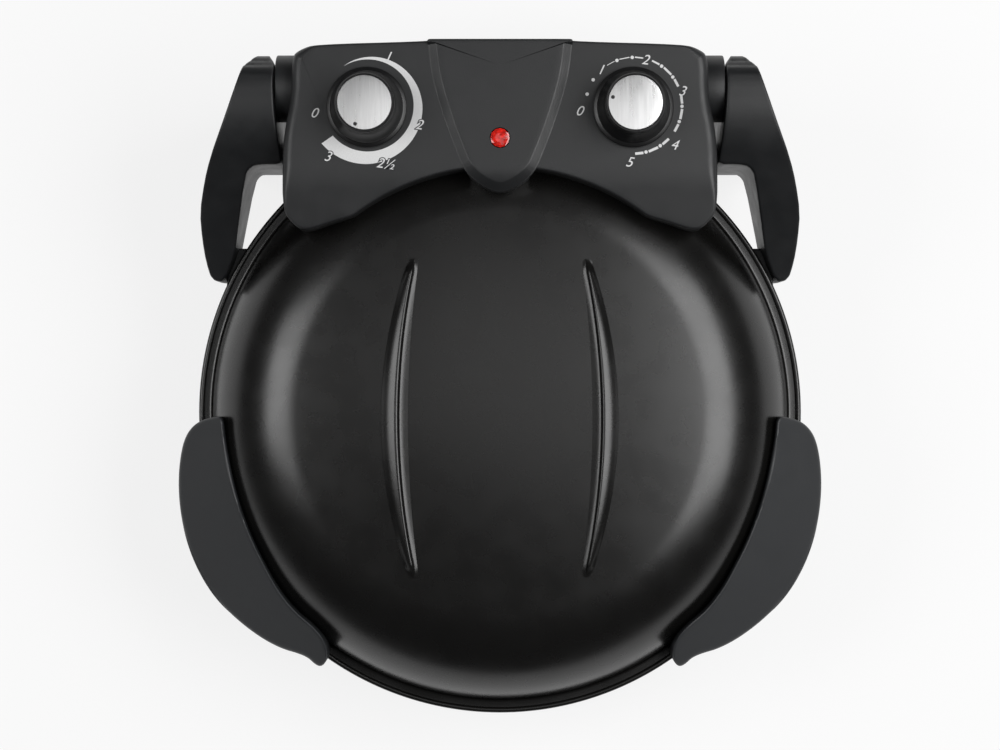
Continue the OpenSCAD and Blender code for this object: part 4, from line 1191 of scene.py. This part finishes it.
# Gap of a dash beside a numeral and beside a dot, in degrees; width of the first and growth
NUMERAL_GAP, DOT_GAP = 5.5, 3.2
DASH_W, DASH_GROWTH = 0.0003, 0.0011


def clockwise(axis, direction, radius, z):
    """A place on a dial, by its direction in degrees clockwise from the back."""
    a = math.radians(90 - direction)
    return Vector((axis.x + radius * math.cos(a), axis.y + radius * math.sin(a), z))


def plate(bm, inner, outer, z):
    """A thin plate between two rows of points, in the panel's surface."""
    rows = [[bm.verts.new((p.x, p.y, z + dz)) for p in row]
            for row, dz in ((inner, PRINT_T), (outer, PRINT_T), (outer, -PRINT_T), (inner, -PRINT_T))]
    for a, b in zip(rows, rows[1:] + rows[:1]):
        for i in range(len(a) - 1):
            bm.faces.new((a[i], a[i + 1], b[i + 1], b[i]))
    for i in (0, -1):
        bm.faces.new([row[i] for row in rows])


def digits(text, place, grow=0.0, lift=0.0):
    """Numerals as a thin raised print; grow widens them for the dark edge behind."""
    curve = bpy.data.curves.new("digits", "FONT")
    settings = {
        "body": text, "size": DIGIT_SIZE, "shear": DIGIT_LEAN, "extrude": PRINT_T, "offset": grow,
        "align_x": "CENTER", "align_y": "CENTER", "resolution_u": 6}
    for key, value in settings.items():
        setattr(curve, key, value)
    letters = linked("digits", curve)
    mesh = evaluated_mesh(letters)
    mesh.transform(Matrix.Translation(Vector(place) + Vector((0, 0, lift)))
                   @ Matrix.Rotation(DIGIT_TURN, 4, "Z"))
    bpy.data.objects.remove(letters)
    bpy.data.curves.remove(curve)
    return mesh


def build_numerals(name, axis, marks):
    pale, dark = bmesh.new(), bmesh.new()
    for text, (dx, dy), with_painted_shadow in marks:
        place = (axis.x + dx, axis.y + dy, PANEL_Z)
        # A darker grown copy under the numeral is painted shadow
        prints = [(dark, DIGIT_PAINTED_SHADOW_W, PAINTED_SHADOW_LIFT)] if with_painted_shadow else []
        for bm, grow, lift in prints + [(pale, 0.0, DIGIT_LIFT)]:
            mesh = digits(text, place, grow, lift)
            bm.from_mesh(mesh)
            bpy.data.meshes.remove(mesh)
    finish_piece(name + "_numerals", pale, None, "lid", look="print")
    # The dark rims under the numerals are painted shadow, made as one piece
    finish_piece(name + "_numeral_edges", dark, None, "lid", look="painted_numeral_shadow")


def build_dials():
    z = PANEL_Z
    scale_axis, minute_axis = THERMOSTAT + DIAL_SHIFT, TIMER + DIAL_SHIFT
    bm = bmesh.new()
    inner, outer = [], []
    for k in range(SCALE_STEPS + 1):
        direction = SCALE_START + (SCALE_STOP - SCALE_START) * k / SCALE_STEPS
        width = between_points(direction, SCALE_WIDTH)
        slant = SCALE_SLANT if k == SCALE_STEPS else 0
        inner.append(clockwise(scale_axis, direction, DIAL_R, z))
        outer.append(clockwise(scale_axis, direction + slant, DIAL_R + width, z))
    plate(bm, inner, outer, z)
    finish_piece("temperature_scale", bm, None, "lid", look="print")
    build_numerals("temperature", THERMOSTAT, TEMPERATURES)
    build_numerals("minute", TIMER, MINUTES)

    def mark_direction(k):
        return ZERO_DIRECTION + k * MINUTE_STEP / DOTS_A_MINUTE

    def mark_gap(k):
        return DOT_GAP if k % DOTS_A_MINUTE else NUMERAL_GAP

    dots, dashes = [], []
    for k in range(1, LAST_MARK):
        if k % DOTS_A_MINUTE:
            dots.append((clockwise(minute_axis, mark_direction(k), MARK_R, z), (0, 0, 0), (1, 1, 1)))
    for k in range(DOTS_A_MINUTE, LAST_MARK):
        a = mark_direction(k) + mark_gap(k)
        b = mark_direction(k + 1) - mark_gap(k + 1)
        width = DASH_W + DASH_GROWTH * smooth((k - 2) / 7)
        size = (MARK_R * math.radians(b - a), width, 1)
        middle = (a + b) / 2
        turn = (0, 0, math.radians(-middle))
        dashes.append((clockwise(minute_axis, middle, MARK_R, z), turn, size))
    disc = bmesh.new()
    bmesh.ops.create_cone(disc, cap_ends=True, segments=20, radius1=MARK_DOT_R,
                          radius2=MARK_DOT_R, depth=2 * PRINT_T)
    finish_piece("minute_dots", set_out(disc, dots, "print"), None, "lid", look="print")
    dash = bmesh.new()
    bmesh.ops.create_cube(dash, size=1)
    bmesh.ops.scale(dash, verts=dash.verts, vec=(1, 1, 2 * PRINT_T))
    finish_piece("minute_dashes", set_out(dash, dashes, "print"), None, "lid", look="print")


LENS_GAP = 0.0004
LENS_SHARP = math.radians(4)
LENS_FACETS = 12
# Share of the lens's radius, height over the shield's top, and turn in facets
LENS_ROWS = [(1, -0.004, 0), (1, -0.0002, 0), (0.82, 0.0003, 0.5), (0.5, 0.0006, 0), (0.2, 0.0007, 0.5)]


def build_lamp():
    """A faceted lens in the shield's hole."""
    r, top = LAMP_HOLE_R - LENS_GAP, PANEL_Z + sizes().shield_h
    bm = bmesh.new()
    rings = []
    for share, z, shift in LENS_ROWS:
        angles = [2 * math.pi * (k + shift) / LENS_FACETS for k in range(LENS_FACETS)]
        rings.append([bm.verts.new((
            LAMP.x + r * share * math.cos(a), LAMP.y + r * share * math.sin(a), top + z))
            for a in angles])
    for lower, upper in zip(rings, rings[1:]):
        for i in range(LENS_FACETS):
            j = (i + 1) % LENS_FACETS
            bm.faces.new((lower[i], lower[j], upper[j]))
            bm.faces.new((lower[i], upper[j], upper[i]))
    bm.faces.new(rings[-1])
    bm.faces.new(rings[0][::-1])
    finish_piece("lamp_jewel", bm, "lens", "lid", ["lamp_lens"], sharp=LENS_SHARP)


# Stone and fasteners

STONE_EDGE = 0.0014
STONE_FLAT_R = 0.1


def build_stone():
    low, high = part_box("baking_stone")
    r, edge = (high.x - low.x) / 2, STONE_EDGE
    section = [
        (0, high.z), (STONE_FLAT_R, high.z), (r - edge, high.z), (r - 0.0003, high.z - edge * 0.8),
        (r, high.z - edge * 1.4), (r, low.z + edge), (r - edge, low.z), (STONE_FLAT_R, low.z),
        (0, low.z)]
    finish_turned("stone_disc", section, "stone", 192, "base", ["baking_stone"])


BELL_SCREW = [
    (0, 0), (0.0024, 0), (0.003, 0.0005), (0.003, 0.0014), (0.0015, 0.0014), (0.0015, 0.0134),
    (0, 0.0134)]


def build_screws():
    """The bell's fixing screw; the other screws stay as the frame has them."""
    low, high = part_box("bell_screw")
    place = ((low.x + high.x) / 2, (low.y + high.y) / 2 - OVEN_Y, low.z)
    finish_turned("bell_fixing_screw", BELL_SCREW, "zinc", 32, "lid", ["bell_screw"], place)


# Carried-over nodes and the stage

def dress_frame():
    """Gives every node that stays in sight its material."""
    for part in frame["record"]["subparts"]:
        materials = frame["nodes"][part["node"]].data.materials
        materials.clear()
        materials.append(material(part["material_slot"]))


CAMERA_Z = 1.39
CAMERA_Y = 0.00515
FOCAL_PX = 2260.9
IMAGE_W = 1000
SENSOR_W = 36
FLOOR_HALF = 4
FLOOR_COLOUR = (0.86, 0.86, 0.86, 1)
FLOOR_ROUGHNESS = 0.9
FLOOR_WHITE = 0.8
DIM_WORLD = (0.06, 0.06, 0.062, 1)
AIM = (0, 0, 0.1)
# Name, place, width, height and power of each soft light
SOFTBOXES = [
    ("left_softbox", (-1.1, 0.12, 1.36), 0.8, 0.8, 11),
    ("right_softbox", (0.98, 0.12, 1.4), 1.3, 0.95, 24),
    ("overhead_panel", (0.05, 0.1, 1.75), 0.75, 0.65, 1.5)]


def white_to_camera(tree, inner, share):
    """Mixes a share of white into the inner shader for camera, glossy and transmission rays."""
    rays = add(tree, "ShaderNodeLightPath").outputs
    seen = maths(tree, "MAXIMUM", rays["Is Camera Ray"], rays["Is Glossy Ray"])
    seen = maths(tree, "MAXIMUM", seen, rays["Is Transmission Ray"])
    glow = add(tree, "ShaderNodeEmission", {"Color": (1, 1, 1, 1)}).outputs[0]
    return add(tree, "ShaderNodeMixShader", {
        0: maths(tree, "MULTIPLY", seen, share), 1: inner, 2: glow}).outputs[0]


def softbox(name, place, width, height, power):
    light = bpy.data.lights.new(name, "AREA")
    light.shape = "RECTANGLE"
    light.size, light.size_y = width, height
    light.energy = power
    lamp = linked(name, light)
    lamp.location = place
    lamp.rotation_mode = "QUATERNION"
    lamp.rotation_quaternion = (Vector(AIM) - Vector(place)).to_track_quat("-Z", "Y")
    lamp.visible_camera = False


def build_stage():
    scene = bpy.context.scene
    scene.view_settings.view_transform = "Standard"
    camera = linked("camera", bpy.data.cameras.new("camera"))
    camera.location = (0, CAMERA_Y, CAMERA_Z)
    camera.data.sensor_width = SENSOR_W
    camera.data.lens = FOCAL_PX / IMAGE_W * SENSOR_W
    scene.camera = camera

    bm = bmesh.new()
    bmesh.ops.create_grid(bm, x_segments=2, y_segments=2, size=FLOOR_HALF)
    mesh = mesh_of("floor", bm)
    linked("floor", mesh)
    pale, tree = new_material("floor_pale")
    dressed(pale, {"Base Color": FLOOR_COLOUR, "Roughness": FLOOR_ROUGHNESS})
    lit = white_to_camera(tree, tree.nodes["Principled BSDF"].outputs[0], FLOOR_WHITE)
    feed(tree, tree.nodes["Material Output"], {"Surface": lit})
    mesh.materials.append(pale)

    world = bpy.data.worlds.new("studio")
    scene.world = world
    world.use_nodes = True
    tree = world.node_tree
    dim = feed(tree, tree.nodes["Background"], {"Color": DIM_WORLD})
    white = add(tree, "ShaderNodeBackground", {"Color": (1, 1, 1, 1)})
    mix = add(tree, "ShaderNodeMixShader", {
        0: add(tree, "ShaderNodeLightPath").outputs["Is Camera Ray"],
        1: dim.outputs[0], 2: white.outputs[0]})
    feed(tree, tree.nodes["World Output"], {"Surface": mix.outputs[0]})

    for values in SOFTBOXES:
        softbox(*values)


# Operators

def operator(idname, label, doc, build):
    """An operator class that runs one builder."""
    def execute(self, context):
        build()
        return {"FINISHED"}
    return type("PIZZA_OT_" + idname, (bpy.types.Operator,), {
        "bl_idname": "pizza_maker." + idname, "bl_label": label, "__doc__": doc, "execute": execute})


OPERATORS = [
    operator("stage", "Stage", "Makes the camera, the floor, the world and the lamps", build_stage),
    operator("frame_finish", "Frame finish", "Gives the packed pieces their materials", dress_frame),
    operator("lid", "Lid", "Makes the lid's dome and its crescent ribs", build_lid),
    operator("pan", "Pan", "Makes the base pan", build_pan),
    operator("housing", "Housing", "Makes the control housing and its shield", build_housing),
    operator("upper_handles", "Upper handles", "Makes the two grips of the lid", build_upper_handles),
    operator("lower_handles", "Lower handles", "Makes the two grips of the pan", build_lower_handles),
    operator("arms", "Rear arms", "Makes the two rear arms", build_arms),
    operator("knobs", "Knobs", "Makes the knobs, their discs and dots", build_knobs),
    operator("dials", "Dials", "Prints the two dials", build_dials),
    operator("lamp", "Pilot lamp", "Makes the pilot lamp's lens", build_lamp),
    operator("stone", "Stone", "Makes the baking stone", build_stone),
    operator("screws", "Screws", "Makes the bell's fixing screw", build_screws),
]


class PIZZA_PT_panel(bpy.types.Panel):
    """Lists the pieces of the pizza maker"""
    bl_idname = "PIZZA_PT_panel"
    bl_label = "Pizza maker"
    bl_space_type = "VIEW_3D"
    bl_region_type = "UI"
    bl_category = "Pizza maker"

    def draw(self, context):
        for item in OPERATORS:
            self.layout.operator(item.bl_idname)


CLASSES = [PizzaMakerSizes, PizzaMakerColours, *OPERATORS, PIZZA_PT_panel]


def register():
    for item in CLASSES:
        bpy.utils.register_class(item)
    bpy.types.Scene.pizza_maker_sizes = PointerProperty(type=PizzaMakerSizes)
    bpy.types.Scene.pizza_maker_colours = PointerProperty(type=PizzaMakerColours)


def unregister():
    del bpy.types.Scene.pizza_maker_sizes
    del bpy.types.Scene.pizza_maker_colours
    for item in reversed(CLASSES):
        bpy.utils.unregister_class(item)


def main():
    register()
    for item in OPERATORS:
        getattr(bpy.ops.pizza_maker, item.bl_idname.split(".")[1])()


if __name__ == "__main__":
    main()
